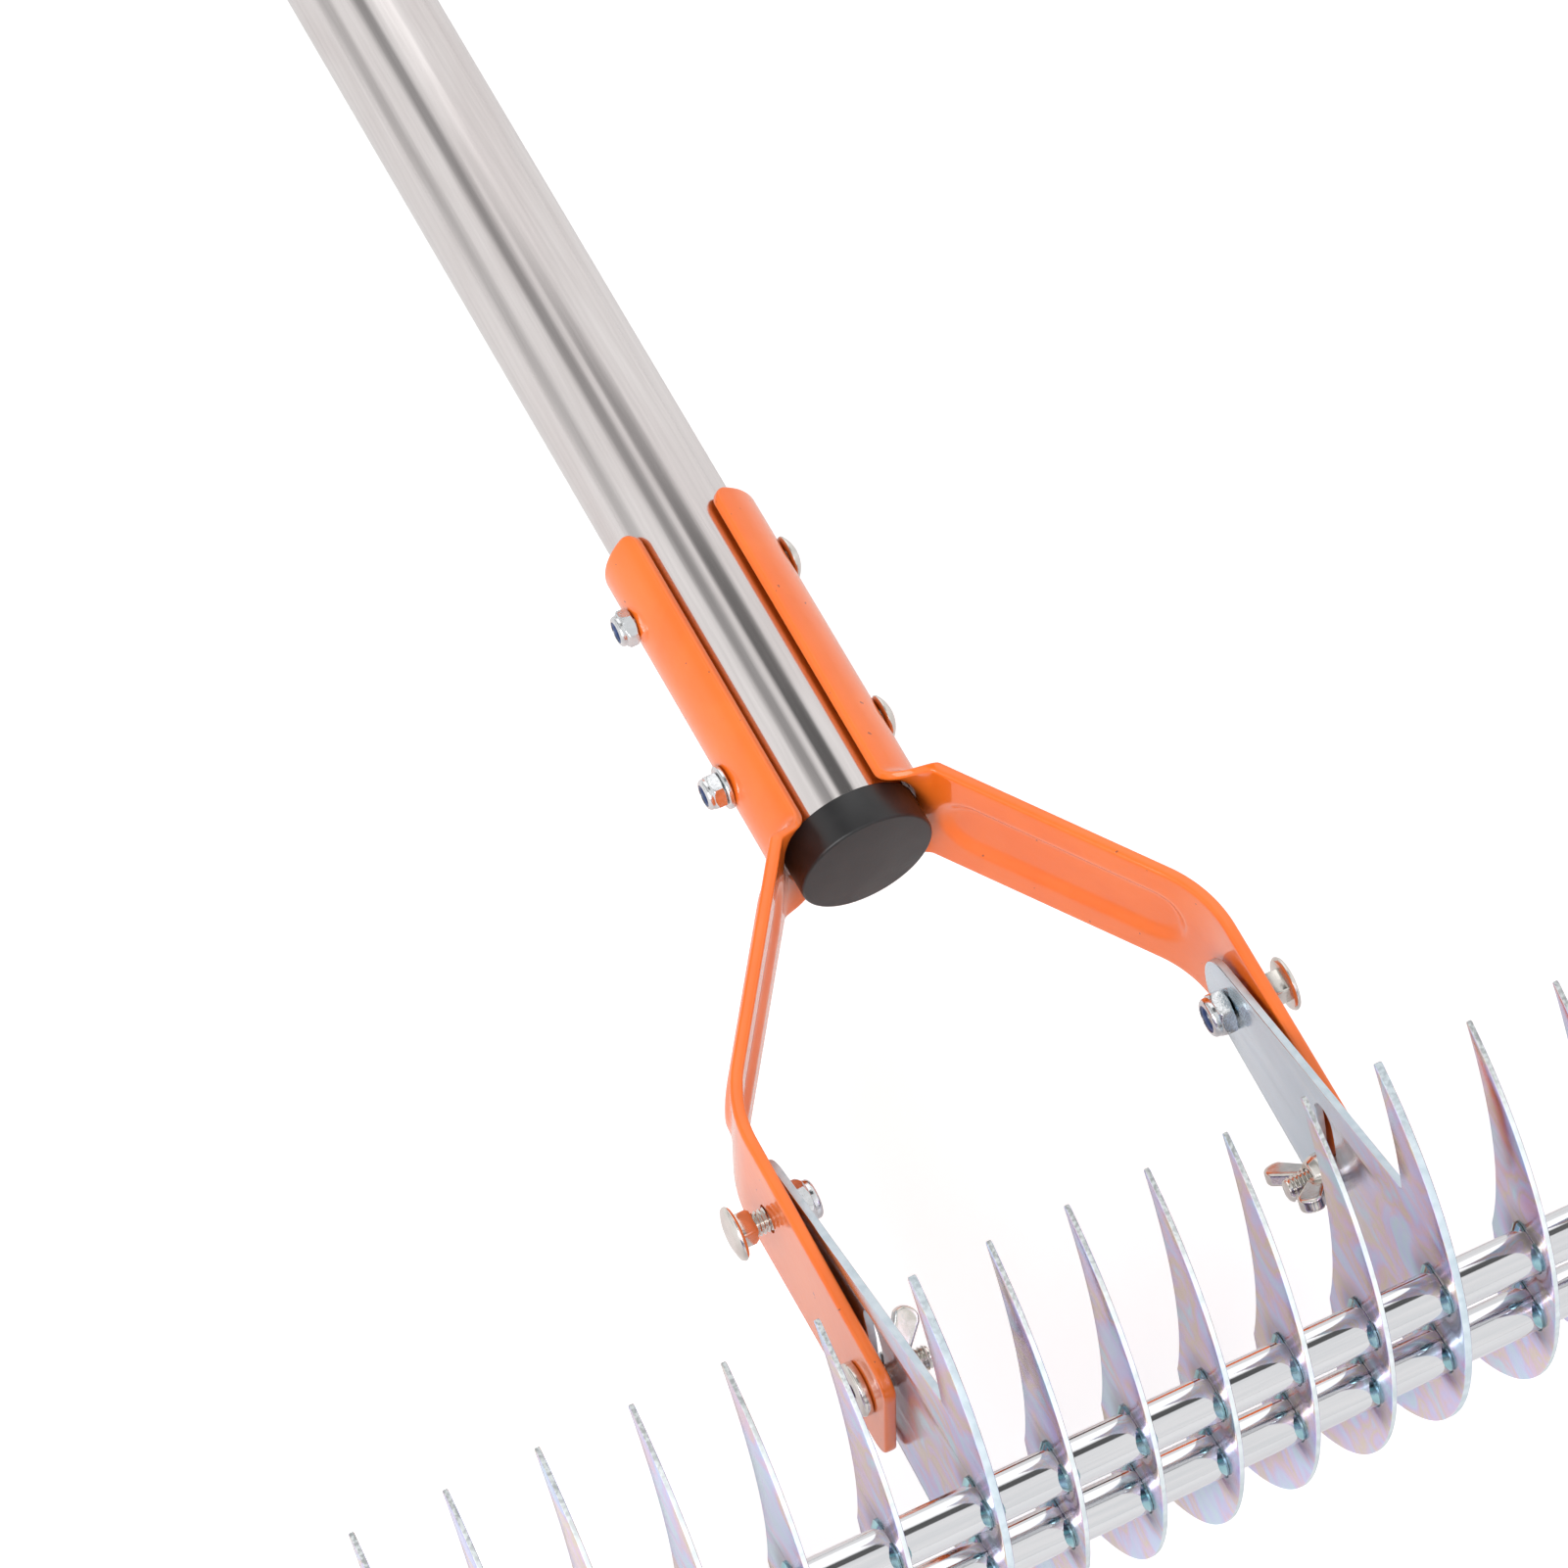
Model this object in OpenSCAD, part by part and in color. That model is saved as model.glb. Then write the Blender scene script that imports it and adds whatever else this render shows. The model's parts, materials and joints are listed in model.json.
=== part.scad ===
// Thatch rake: a row of double-ended crescent blades on two rods, hung in a two-armed yoke that wraps
// the end of a tubular handle. The head tilts about two pivot bolts and is held by two wing nuts.
// The rake lies on its lower blade points and on its grip: X runs along the blade row, Y up the handle.

/* [Handle] */
// Outer diameter of the handle tube
tube_d = 32; // [28:1:36]
// Wall of the handle tube
tube_wall = 1.5; // [1:0.1:2.5]
// Length of the handle tube
tube_len = 1250; // [900:10:1600]
// Distance from the pivot axis up to the tube's lower end
tube_reach = 74; // [72:0.5:80]
// How far an end cap stands out round the tube
cap_wall = 0.9; // [0.6:0.1:1]
// Length of tube that an end cap covers
cap_skirt = 8; // [5:0.5:9]
// Thickness of an end cap's closed end
cap_floor = 2; // [1.5:0.5:4]
// Wall of the grip sleeve
grip_wall = 3; // [2:0.5:6]
// Length of the grip sleeve
grip_len = 140; // [80:5:220]
// Bare tube between the grip sleeve and the top cap
grip_setback = 2; // [1:0.5:6]
// Bevel round the ends of the grip sleeve
grip_bevel = 1.5; // [0.5:0.5:2]

/* [Arms] */
// Thickness of the arm sheet
arm_t = 3; // [2:0.5:4]
// Width of the arm across its flat splay
arm_w = 38.5; // [36:0.5:44]
// Width of the arm at the tip of its leg
leg_end_w = 35; // [30:1:38]
// Part of the tube's round that one arm covers, in degrees
wrap_cover = 114; // [90:2:140]
// How far the right arm's half round is turned to the front, in degrees: both arms are the same piece
wrap_lead = 7; // [0:1:12]
// Length of the arm's straight half round along the tube
wrap_len = 85.5; // [78:0.5:110]
// Corner radius at the top of the half round
wrap_corner = 4; // [2:0.5:8]
// Clearance between tube and half round
wrap_gap = 1; // [0.9:0.1:1.5]
// Distance from the tube's lower end up to the bend where the arm leaves the tube
flare_rise = 6.5; // [5:0.5:12]
// Bend radius where the arm leaves the tube
flare_r = 12; // [8:1:16]
// Angle of the splay to the handle, in degrees
splay_angle = 35; // [32:1:38]
// Bend radius between splay and leg
knee_r = 33; // [25:1:36]
// Clear distance between the two legs
leg_gap = 118; // [112:1:130]
// Distance from the pivot axis down to the tip of the leg
leg_tail = 58.5; // [56:0.5:64]
// Corner radius at the tip of the leg
leg_corner = 6; // [3:0.5:10]
// Length of the pressed rib in the splay
rib_len = 56; // [40:1:57]
// Width of the pressed rib, inside
rib_w = 15; // [8:1:20]
// Depth of the pressed rib
rib_depth = 1.6; // [1:0.1:2.2]
// Wall of the pressed rib at its sides
rib_wall = 1.6; // [1.2:0.1:2.5]

/* [Head] */
// Tilt of the head out of line with the handle, in degrees
head_tilt = 8.4; // [-12:0.2:12]
// Thickness of a mount plate
plate_t = 3; // [2:0.5:4]
// Clearance between a moving face and its neighbour
face_gap = 0.3; // [0.2:0.05:0.5]
// Radius of the mount plate's end round the pivot
plate_end_r = 12; // [10:0.5:12.5]
// Half the plate's width at the notches beside its points
notch_half = 31; // [28:0.5:34]
// Radius of the tilt slot's middle line
slot_r = 47; // [44:0.5:49]
// Width of the tilt slot
slot_w = 8; // [7:0.2:9]
// Tilt each way that the slot allows, in degrees
slot_swing = 15; // [14:0.5:17]
// Distance from the pivot axis to the rods
rod_reach = 98; // [95:0.5:102]
// Distance between the two rods
rod_pitch = 22.4; // [20:0.2:26]
// Diameter of a rod
rod_d = 11; // [9:0.5:12]
// Length of rod that stands out past the last blade
rod_end = 6; // [4:0.5:12]
// Bevel round a rod's end
rod_bevel = 0.8; // [0.4:0.1:1.2]
// Height of the ears that lock a blade, three on each side of it
ear_h = 1.6; // [0.8:0.1:2]
// Width of an ear at its foot
ear_w = 2; // [1.4:0.1:2.6]
// Part of the rod's round that one ear covers, in degrees
ear_cover = 62; // [40:1:90]
// Angle of the first ear round the rod, in degrees
ear_lead = -7; // [-60:1:60]
// Clearance of a blade on its rods and between its ears
blade_gap = 0.05; // [0.02:0.01:0.1]

/* [Blades] */
// Thickness of a blade
blade_t = 1.8; // [1.2:0.1:2.4]
// Distance from the rods out to the crown of a blade's convex edge
crown_rise = 11.7; // [10:0.1:14]
// Radius of the convex edge
crown_r = 74.6; // [72:0.2:78]
// Distance from the rods back to the deepest point of a hollow edge
hollow_depth = 15; // [12:0.2:17]
// Radius of a hollow edge
hollow_r = 88; // [84:0.5:94]
// Distance of the deepest point from the blade's middle
hollow_offset = 20; // [16:0.5:24]
// Distance of a blade's points from its middle
point_half = 64.8; // [60:0.2:65.2]
// Blades between the two mount plates
inner_blades = 5; // [3:1:6]
// Blades outside each mount plate
outer_blades = 6; // [4:1:6]
// Spacing of the blades outside the mount plates
outer_pitch = 22; // [18:0.5:26]

/* [Fasteners] */
// Thread diameter of the bolts
bolt_d = 6; // [5:0.5:6.5]
// Clearance round a bolt in its hole
bolt_gap = 0.06; // [0.03:0.01:0.1]
// Width of a nut across its flats
nut_flats = 10; // [9:0.5:11]
// Height of a nut's six-sided part
nut_hex_h = 3.8; // [3:0.2:5]
// Height of the collar that holds a nut's nylon ring
nut_collar_h = 1.8; // [1.4:0.2:3]
// Distance from the tube's lower end up to the first tube bolt
tube_bolt_rise = 31; // [28:0.5:34]
// Distance between the two tube bolts
tube_bolt_pitch = 49; // [40:1:52]
// Diameter of a tube bolt's round head
tube_head_d = 11; // [10:0.5:13]
// Height of a tube bolt's round head
tube_head_h = 3; // [2:0.5:4]
// Diameter of the washer under the lower tube nut
washer_d = 12; // [10.5:0.5:14]
// Thickness of that washer
washer_t = 1.4; // [1:0.2:2]
// Diameter of a pivot bolt's head
pivot_head_d = 13.5; // [12:0.5:16]
// Height of a pivot bolt's head
pivot_head_h = 2.4; // [2:0.2:3]
// Length of a pivot bolt's square neck
pivot_neck = 4; // [3:0.5:5]
// How far a pivot bolt's head stands off its arm
pivot_standoff = 7.5; // [6:0.5:10]
// Diameter of a wing bolt's flat head
wing_head_d = 13; // [11:0.5:15]
// Height of a wing bolt's flat head
wing_head_h = 2.5; // [1.5:0.5:3]
// Width across the six-sided socket in that head
wing_socket = 3; // [2.5:0.5:4]
// Length of a wing bolt under its head
wing_bolt_len = 17; // [16:1:22]
// Tip to tip size of a wing nut
wing_span = 26; // [22:1:28]
// Height of a wing nut's boss
wing_boss_h = 6.5; // [5:0.5:7.5]
// Diameter of a wing nut's boss at its foot
wing_boss_d = 11; // [9.5:0.5:12]
// Thickness of a wing
wing_t = 3.4; // [2:0.2:4]
// Width of a wing's round end
wing_w = 6.5; // [5:0.5:8]
// Height of the middle of a wing's round end above the nut's foot
wing_rise = 8; // [7:0.1:10]
// Angle that the left wing nut stands at, in degrees
left_wing_angle = 35; // [0:1:180]
// Angle that the right wing nut stands at, in degrees
right_wing_angle = 140; // [0:1:180]

/* [Hidden] */
blade_names = [for (i = [1:inner_blades + 2 * outer_blades]) str("blade_", i)];

// Handle
tube_r = tube_d / 2;
tube_top = tube_reach + tube_len;
cap_r = tube_r + cap_wall;
cap_end = tube_top + cap_floor;
grip_r = tube_r + grip_wall;
grip_top = tube_top - cap_skirt - grip_setback;
seat_gap = 0.1;
tube_bolt_y = [for (i = [0, 1]) tube_reach + tube_bolt_rise + i * tube_bolt_pitch];

// Arms: the sheet's middle line runs straight along the tube, out along the splay and down the leg
leg_in = leg_gap / 2;
leg_out = leg_in + arm_t;
leg_mid = leg_in + arm_t / 2;
wrap_mid = tube_r + wrap_gap + arm_t / 2;
wrap_out = wrap_mid + arm_t / 2;
wrap_w = wrap_mid * wrap_cover * PI / 180;
wrap_shift = wrap_mid * wrap_lead * PI / 180;
flare_reach = tube_reach + flare_rise;
flare_tangent = flare_r * tan(splay_angle / 2);
flare_top = flare_reach + flare_tangent;
wrap_top = flare_top + wrap_len;
knee_reach = flare_reach - (leg_mid - wrap_mid) / tan(splay_angle);
knee_tangent = knee_r * tan(splay_angle / 2);
splay_len = (leg_mid - wrap_mid) / sin(splay_angle) - flare_tangent - knee_tangent;
flare_end = [wrap_mid + flare_tangent * sin(splay_angle), flare_reach - flare_tangent * cos(splay_angle)];
leg_top = knee_reach - knee_tangent;

// Head
crown_reach = rod_reach + crown_rise;
hollow_reach = rod_reach - hollow_depth;
crown_centre = crown_reach - crown_r;
hollow_centre = hollow_reach - hollow_r;
notch_reach = hollow_centre + sqrt(pow(hollow_r, 2) - pow(notch_half - hollow_offset, 2));
plate_out = leg_in - face_gap;
plate_mid = plate_out - plate_t / 2;
plate_in = plate_out - plate_t;
inner_pitch = 2 * plate_mid / (inner_blades + 1);
blade_x = concat(
    [for (i = [outer_blades:-1:1]) -plate_mid - i * outer_pitch],
    [for (i = [1:inner_blades]) -plate_mid + i * inner_pitch],
    [for (i = [1:outer_blades]) plate_mid + i * outer_pitch]);
rod_half = plate_mid + outer_blades * outer_pitch + blade_t / 2 + rod_end;
rod_r = rod_d / 2;
bolt_r = bolt_d / 2;
hole_r = bolt_r + bolt_gap;
nut_h = nut_hex_h + nut_collar_h;
nut_collar_r = nut_flats / 2 * 0.92;
ring_r = nut_collar_r * 0.86;
ring_t = nut_collar_h * 0.7;

// How the rake lies: its lowest blade points and the far end of its grip are level
point_in = hollow_centre + sqrt(pow(hollow_r, 2) - pow(point_half - hollow_offset, 2));
point_y = -point_in * cos(head_tilt) - point_half * sin(head_tilt);
point_z = point_in * sin(head_tilt) - point_half * cos(head_tilt);
rest_y = grip_top - grip_bevel;
lay_angle = atan((-grip_r - point_z) / (point_y - rest_y));
lift = -(point_y * sin(lay_angle) + point_z * cos(lay_angle));
front_y = -crown_centre * cos(head_tilt - lay_angle) - crown_r;
back_y = cap_end * cos(lay_angle) - cap_r * sin(lay_angle);
middle_y = (front_y + back_y) / 2;

// Moves a piece drawn about the pivot axis to where it lies
module laid() {
    translate([0, -middle_y, lift]) rotate([lay_angle, 0, 0]) children();
}

// Turns a piece of the head, drawn in line with the handle, to the head's tilt
module tilted() {
    rotate([-head_tilt, 0, 0]) children();
}

// Stands an outline up across X: its x runs away from the handle and its y towards the upper points
module plate_at(middle, thickness) {
    translate([middle + thickness / 2, 0, 0]) rotate([90, 0, -90]) linear_extrude(thickness) children();
}

// A cylinder along X that starts at x and runs towards +X
module bar_x(x, r, length) {
    translate([x, 0, 0]) rotate([0, 90, 0]) cylinder(r = r, h = length, $fn = 48);
}

// Repeats a piece of the right-hand side on the left as well
module both_sides() {
    children();
    mirror([1, 0, 0]) children();
}

// Handle
module handle_tube() {
    color("silver") laid() difference() {
        translate([0, tube_reach, 0]) rotate([-90, 0, 0]) difference() {
            cylinder(r = tube_r, h = tube_len, $fn = 96);
            translate([0, 0, -1]) cylinder(r = tube_r - tube_wall, h = tube_len + 2, $fn = 96);
        }
        for (y = tube_bolt_y) translate([0, y, 0]) bar_x(-tube_d, hole_r, 2 * tube_d);
    }
}

// A push-on cap, drawn with its closed end at y = 0 and its skirt towards +Y
module end_cap() {
    rotate([-90, 0, 0]) difference() {
        rotate_extrude($fn = 96) polygon([
            [0, 0], [cap_r - cap_wall / 2, 0], [cap_r, cap_wall / 2],
            [cap_r, cap_floor + cap_skirt], [0, cap_floor + cap_skirt]]);
        translate([0, 0, cap_floor]) cylinder(r = tube_r + seat_gap, h = cap_skirt + 1, $fn = 96);
    }
}

module lower_cap() {
    color("black") laid() translate([0, tube_reach - cap_floor, 0]) end_cap();
}

module top_cap() {
    color("black") laid() translate([0, cap_end, 0]) mirror([0, 1, 0]) end_cap();
}

module grip_sleeve() {
    bore_r = tube_r + seat_gap;
    color([0.12, 0.12, 0.12]) laid() translate([0, grip_top - grip_len, 0]) rotate([-90, 0, 0])
        rotate_extrude($fn = 96) polygon([
            [bore_r, 0], [grip_r - grip_bevel, 0], [grip_r, grip_bevel],
            [grip_r, grip_len - grip_bevel], [grip_r - grip_bevel, grip_len], [bore_r, grip_len]]);
}

// Arms
wrap_parts = 16;
flare_parts = 8;
corner_parts = 5;
knee_parts = 10;

// Stations down the half round and its flare: [x, y, turn, curvature, width, shift to the front]
function corner_width(drop) =
    wrap_w - 2 * (wrap_corner - sqrt(pow(wrap_corner, 2) - pow(wrap_corner - drop, 2)));
function flare_station(part) =
    let (turn = splay_angle * part, ease = part * part * (3 - 2 * part))
    [wrap_mid + flare_r * (1 - cos(turn)), flare_top - flare_r * sin(turn), turn,
     (1 - ease) / wrap_mid, wrap_w + (arm_w - wrap_w) * ease, wrap_shift * (1 - ease)];
wrap_stations = concat(
    [for (i = [0:corner_parts])
        let (drop = wrap_corner * (1 - cos(90 * i / corner_parts)))
        [wrap_mid, wrap_top - drop, 0, 1 / wrap_mid, corner_width(drop), wrap_shift]],
    [for (i = [0:flare_parts]) flare_station(i / flare_parts)]);

// One point of the sheet: across it by arc length, and through it from its middle line
function sheet_point(station, across, through) =
    let (bend = station[3] * 180 / PI * across,
         flat = station[3] < 0.0001,
         side = flat ? across : sin(bend) / station[3],
         sag = flat ? 0 : (1 - cos(bend)) / station[3],
         out = through * cos(bend) - sag)
    [station[0] + out * cos(station[2]), station[1] + out * sin(station[2]), side + through * sin(bend)];
function strip_place(station, j) = (j / wrap_parts - 0.5) * station[4] + station[5];
function sheet_ring(station) = concat(
    [for (j = [0:wrap_parts]) sheet_point(station, strip_place(station, j), arm_t / 2)],
    [for (j = [wrap_parts:-1:0]) sheet_point(station, strip_place(station, j), -arm_t / 2)]);

module wrap_sheet() {
    ring = 2 * (wrap_parts + 1);
    last = len(wrap_stations) - 1;
    points = [for (station = wrap_stations) each sheet_ring(station)];
    sides = [for (i = [0:last - 1], j = [0:ring - 1])
        let (a = i * ring + j, b = i * ring + (j + 1) % ring)
        each [[a, b + ring, b], [a, a + ring, b + ring]]];
    first_end = [for (j = [0:wrap_parts - 1])
        let (a = j, b = ring - 1 - j)
        each [[a, b - 1, b], [a, a + 1, b - 1]]];
    last_end = [for (j = [0:wrap_parts - 1])
        let (a = last * ring + j, b = last * ring + ring - 1 - j)
        each [[a, b - 1, a + 1], [a, b, b - 1]]];
    polyhedron(points, concat(sides, first_end, last_end));
}

// A slot-shaped outline along x
module stadium(length, width) {
    square([length - width, width], center = true);
    for (side = [-1, 1]) translate([side * (length - width) / 2, 0]) circle(d = width, $fn = 48);
}

// Points round an arc
function arc(centre, r, from, to, parts) =
    [for (i = [0:parts]) let (a = from + (to - from) * i / parts) centre + r * [cos(a), sin(a)]];

// The strip from the flare's end along the splay, round the knee and down the leg, seen along Z
module strip_outline() {
    centre = [leg_mid - knee_r, leg_top];
    half = arm_t / 2 * [cos(splay_angle), sin(splay_angle)];
    polygon(concat(
        [flare_end + half],
        arc(centre, knee_r + arm_t / 2, splay_angle, 0, knee_parts),
        [[leg_out, -leg_tail], [leg_in, -leg_tail]],
        arc(centre, knee_r - arm_t / 2, 0, splay_angle, knee_parts),
        [flare_end - half]));
}

// The same strip seen along X: its leg tapers and has round corners at its tip
module side_outline() {
    slope = (arm_w - leg_end_w) / 2 / (leg_tail + leg_top);
    lean = atan(slope);
    far = 2 * leg_tail;
    far_half = leg_end_w / 2 + slope * (leg_tail + far);
    corner = [leg_tail - leg_corner, leg_end_w / 2 - leg_corner * (1 / cos(lean) - slope)];
    polygon(concat(
        [[-far, -far_half]],
        arc([corner[0], -corner[1]], leg_corner, lean - 90, 0, corner_parts),
        arc(corner, leg_corner, 0, 90 - lean, corner_parts),
        [[-far, far_half]]));
}

module strip() {
    intersection() {
        linear_extrude(arm_w, center = true) strip_outline();
        plate_at(leg_mid / 2, 2 * leg_mid) side_outline();
    }
}

// Places a pressed shape on the middle of the splay; z points out of the arm's outer face
module at_rib() {
    translate([flare_end[0], flare_end[1], 0]) rotate([0, 0, splay_angle - 90])
        translate([splay_len / 2, 0, 0]) rotate([90, 0, 180]) children();
}

module arm() {
    difference() {
        union() {
            wrap_sheet();
            strip();
            at_rib() linear_extrude(arm_t / 2 + rib_depth) stadium(rib_len, rib_w + 2 * rib_wall);
        }
        at_rib() translate([0, 0, -arm_t]) linear_extrude(arm_t / 2 + rib_depth)
            stadium(rib_len - 2 * rib_wall, rib_w);
        for (y = tube_bolt_y) translate([0, y, 0]) bar_x(0, hole_r, 2 * wrap_out);
        bar_x(leg_in - 1, hole_r, arm_t + 2);
        translate([0, -slot_r, 0]) bar_x(leg_in - 1, hole_r, arm_t + 2);
    }
}

module right_arm() {
    color("orangered") laid() arm();
}

module left_arm() {
    color("orangered") laid() rotate([0, 180, 0]) arm();
}

// Head plates
module blade_outline() {
    difference() {
        intersection() {
            translate([crown_centre, 0]) circle(r = crown_r, $fn = 180);
            translate([crown_reach / 2, 0]) square([crown_reach, 2 * point_half], center = true);
        }
        for (side = [-1, 1])
            translate([hollow_centre, side * hollow_offset]) circle(r = hollow_r, $fn = 180);
    }
}

// The plate's arm: its sides leave the round end and run on past the two notches into the crescent
module plate_arm_outline() {
    notch = sqrt(pow(notch_reach, 2) + pow(notch_half, 2));
    lean = acos(plate_end_r / notch) + atan(notch_half / notch_reach);
    side = 0.99 * plate_end_r * [cos(lean), sin(lean)];
    far = rod_reach - rod_d;
    far_half = notch_half + (far - notch_reach) * (notch_half - side[1]) / (notch_reach - side[0]);
    polygon([side, [far, far_half], [rod_reach, rod_d], [rod_reach, -rod_d], [far, -far_half],
        [side[0], -side[1]]]);
}

module slot_outline() {
    rotate(-slot_swing) intersection() {
        difference() {
            circle(r = slot_r + slot_w / 2, $fn = 96);
            circle(r = slot_r - slot_w / 2, $fn = 96);
        }
        far = 2 * slot_r;
        polygon([[0, 0], [far, 0], [far * cos(slot_swing), far * sin(slot_swing)],
            [far * cos(2 * slot_swing), far * sin(2 * slot_swing)]]);
    }
    for (side = [-1, 1]) rotate(side * slot_swing) translate([slot_r, 0]) circle(d = slot_w, $fn = 48);
}

module rod_holes() {
    for (side = [-1, 1])
        translate([rod_reach, side * rod_pitch / 2]) circle(r = rod_r + blade_gap, $fn = 64);
}

module mount_plate(middle) {
    laid() tilted() difference() {
        union() {
            plate_at(middle, plate_t) blade_outline();
            plate_at(middle, plate_t) plate_arm_outline();
            plate_at(middle, plate_t) circle(r = plate_end_r, $fn = 96);
        }
        plate_at(middle, plate_t + 2) rod_holes();
        plate_at(middle, plate_t + 2) slot_outline();
        bar_x(middle - plate_t, hole_r, 2 * plate_t);
    }
}

module left_mount_plate() {
    color("lightsteelblue") mount_plate(-plate_mid);
}

module right_mount_plate() {
    color("lightsteelblue") mount_plate(plate_mid);
}

module blade(i) {
    color("thistle") laid() tilted() plate_at(blade_x[i], blade_t) difference() {
        blade_outline();
        rod_holes();
    }
}

// Ears stand on each side of every plate, upright next to it; the rod's outline is walked from end to end
function ear_points(x, thickness) =
    let (near = thickness / 2 + blade_gap, top = ear_w / 4)
    [[rod_r, x - near - ear_w], [rod_r + ear_h, x - near - top],
     [rod_r + ear_h, x - near - top / 4], [rod_r, x - near],
     [rod_r, x + near], [rod_r + ear_h, x + near + top / 4],
     [rod_r + ear_h, x + near + top], [rod_r, x + near + ear_w]];
plate_rows = concat(
    [for (i = [0:outer_blades - 1]) [blade_x[i], blade_t]],
    [[-plate_mid, plate_t]],
    [for (i = [outer_blades:outer_blades + inner_blades - 1]) [blade_x[i], blade_t]],
    [[plate_mid, plate_t]],
    [for (i = [outer_blades + inner_blades:len(blade_x) - 1]) [blade_x[i], blade_t]]);

// What is taken away between two ears, down to a thin ring
module ear_space() {
    space = 120 - ear_cover;
    far = 2 * (rod_r + 2 * ear_h);
    intersection() {
        difference() {
            circle(r = rod_r + 2 * ear_h, $fn = 96);
            circle(r = rod_r + seat_gap, $fn = 96);
        }
        polygon([[0, 0], [far, 0], [far * cos(space / 2), far * sin(space / 2)],
            [far * cos(space), far * sin(space)]]);
    }
}

module rod(side) {
    outline = concat(
        [[0, -rod_half], [rod_r - rod_bevel, -rod_half], [rod_r, -rod_half + rod_bevel]],
        [for (row = plate_rows) each ear_points(row[0], row[1])],
        [[rod_r, rod_half - rod_bevel], [rod_r - rod_bevel, rod_half], [0, rod_half]]);
    laid() tilted() translate([0, -rod_reach, side * rod_pitch / 2]) rotate([0, 90, 0]) difference() {
        rotate_extrude($fn = 64) polygon(outline);
        for (i = [0:2]) rotate(ear_lead + ear_cover / 2 + 120 * i)
            linear_extrude(2 * rod_half, center = true) ear_space();
    }
}

module upper_rod() {
    color("gainsboro") rod(1);
}

module lower_rod() {
    color("gainsboro") rod(-1);
}

// Fasteners, each drawn on the X axis
// A six-sided lock nut with its foot at x = 0, growing towards +X
module lock_nut() {
    corner_r = nut_flats / 2 / cos(30);
    bevel = (corner_r - nut_flats / 2) * 0.9;
    rotate([0, 90, 0]) difference() {
        union() {
            intersection() {
                cylinder(r = corner_r, h = nut_hex_h, $fn = 6);
                rotate_extrude($fn = 64) polygon([
                    [0, 0], [corner_r - bevel, 0], [corner_r, bevel * tan(30)],
                    [corner_r, nut_hex_h - bevel * tan(30)], [corner_r - bevel, nut_hex_h],
                    [0, nut_hex_h]]);
            }
            cylinder(r = nut_collar_r, h = nut_h, $fn = 64);
        }
        translate([0, 0, -1]) cylinder(r = bolt_r + seat_gap / 2, h = nut_h + 2, $fn = 48);
        translate([0, 0, nut_h - ring_t]) cylinder(r = ring_r, h = ring_t + 1, $fn = 64);
    }
}

// The nylon ring in a lock nut's collar
module lock_ring() {
    rotate([0, 90, 0]) translate([0, 0, nut_h - ring_t]) difference() {
        cylinder(r = ring_r - seat_gap / 2, h = ring_t * 0.9, $fn = 64);
        translate([0, 0, -1]) cylinder(r = bolt_r + seat_gap / 2, h = ring_t + 2, $fn = 48);
    }
}

// A domed head with its flat side at x = 0, growing towards +X
module domed_head(d, h) {
    dome_h = h * 0.75;
    dome_r = (pow(d / 2, 2) + pow(dome_h, 2)) / (2 * dome_h);
    rotate([0, 90, 0]) intersection() {
        cylinder(d = d, h = 2 * h, $fn = 64);
        translate([0, 0, h - dome_r]) sphere(r = dome_r, $fn = 128);
    }
}

nut_seat = wrap_out + seat_gap;
function nut_foot(i) = nut_seat + (i == 0 ? washer_t : 0);

module tube_bolts() {
    color("gainsboro") laid() for (i = [0, 1]) translate([0, tube_bolt_y[i], 0]) {
        start = -nut_foot(i) - nut_h;
        translate([nut_seat, 0, 0]) domed_head(tube_head_d, tube_head_h);
        bar_x(start, bolt_r, nut_seat + tube_head_h / 2 - start);
    }
}

// The lower nut stands on a washer
module at_tube_nut(i) {
    translate([-nut_foot(i), tube_bolt_y[i], 0]) mirror([1, 0, 0]) children();
}

module tube_nuts() {
    color("silver") laid() for (i = [0, 1]) at_tube_nut(i) lock_nut();
}

module tube_washer() {
    color("silver") laid() translate([-nut_foot(0), tube_bolt_y[0], 0]) rotate([0, 90, 0]) difference() {
        translate([0, 0, seat_gap / 2]) cylinder(d = washer_d, h = washer_t - seat_gap / 2, $fn = 64);
        translate([0, 0, -1]) cylinder(r = bolt_r + seat_gap, h = washer_t + 2, $fn = 48);
    }
}

pivot_nut_x = plate_in - face_gap;
module at_pivot_nut() {
    translate([pivot_nut_x, 0, 0]) mirror([1, 0, 0]) children();
}

module pivot_bolts() {
    neck = bolt_d * 1.08;
    under = leg_out + pivot_standoff;
    sink = pivot_head_h / 2;
    start = pivot_nut_x - nut_hex_h;
    color("whitesmoke") laid() both_sides() {
        translate([under, 0, 0]) domed_head(pivot_head_d, pivot_head_h);
        translate([under - pivot_neck, -neck / 2, -neck / 2]) cube([pivot_neck + sink, neck, neck]);
        bar_x(start, bolt_r, under - pivot_neck / 2 - start);
    }
}

module pivot_nuts() {
    color("silver") laid() both_sides() at_pivot_nut() lock_nut();
}

module nut_rings() {
    color("royalblue") laid() {
        both_sides() at_pivot_nut() lock_ring();
        for (i = [0, 1]) at_tube_nut(i) lock_ring();
    }
}

module wing_bolts() {
    color("lightgray") laid() translate([0, -slot_r, 0]) both_sides() difference() {
        union() {
            bar_x(leg_out + seat_gap, wing_head_d / 2, wing_head_h);
            bar_x(leg_out + seat_gap - wing_bolt_len, bolt_r, wing_bolt_len + 1);
        }
        translate([leg_out + seat_gap + wing_head_h / 4, 0, 0]) rotate([0, 90, 0])
            cylinder(d = wing_socket / cos(30), h = wing_head_h, $fn = 6);
    }
}

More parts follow.
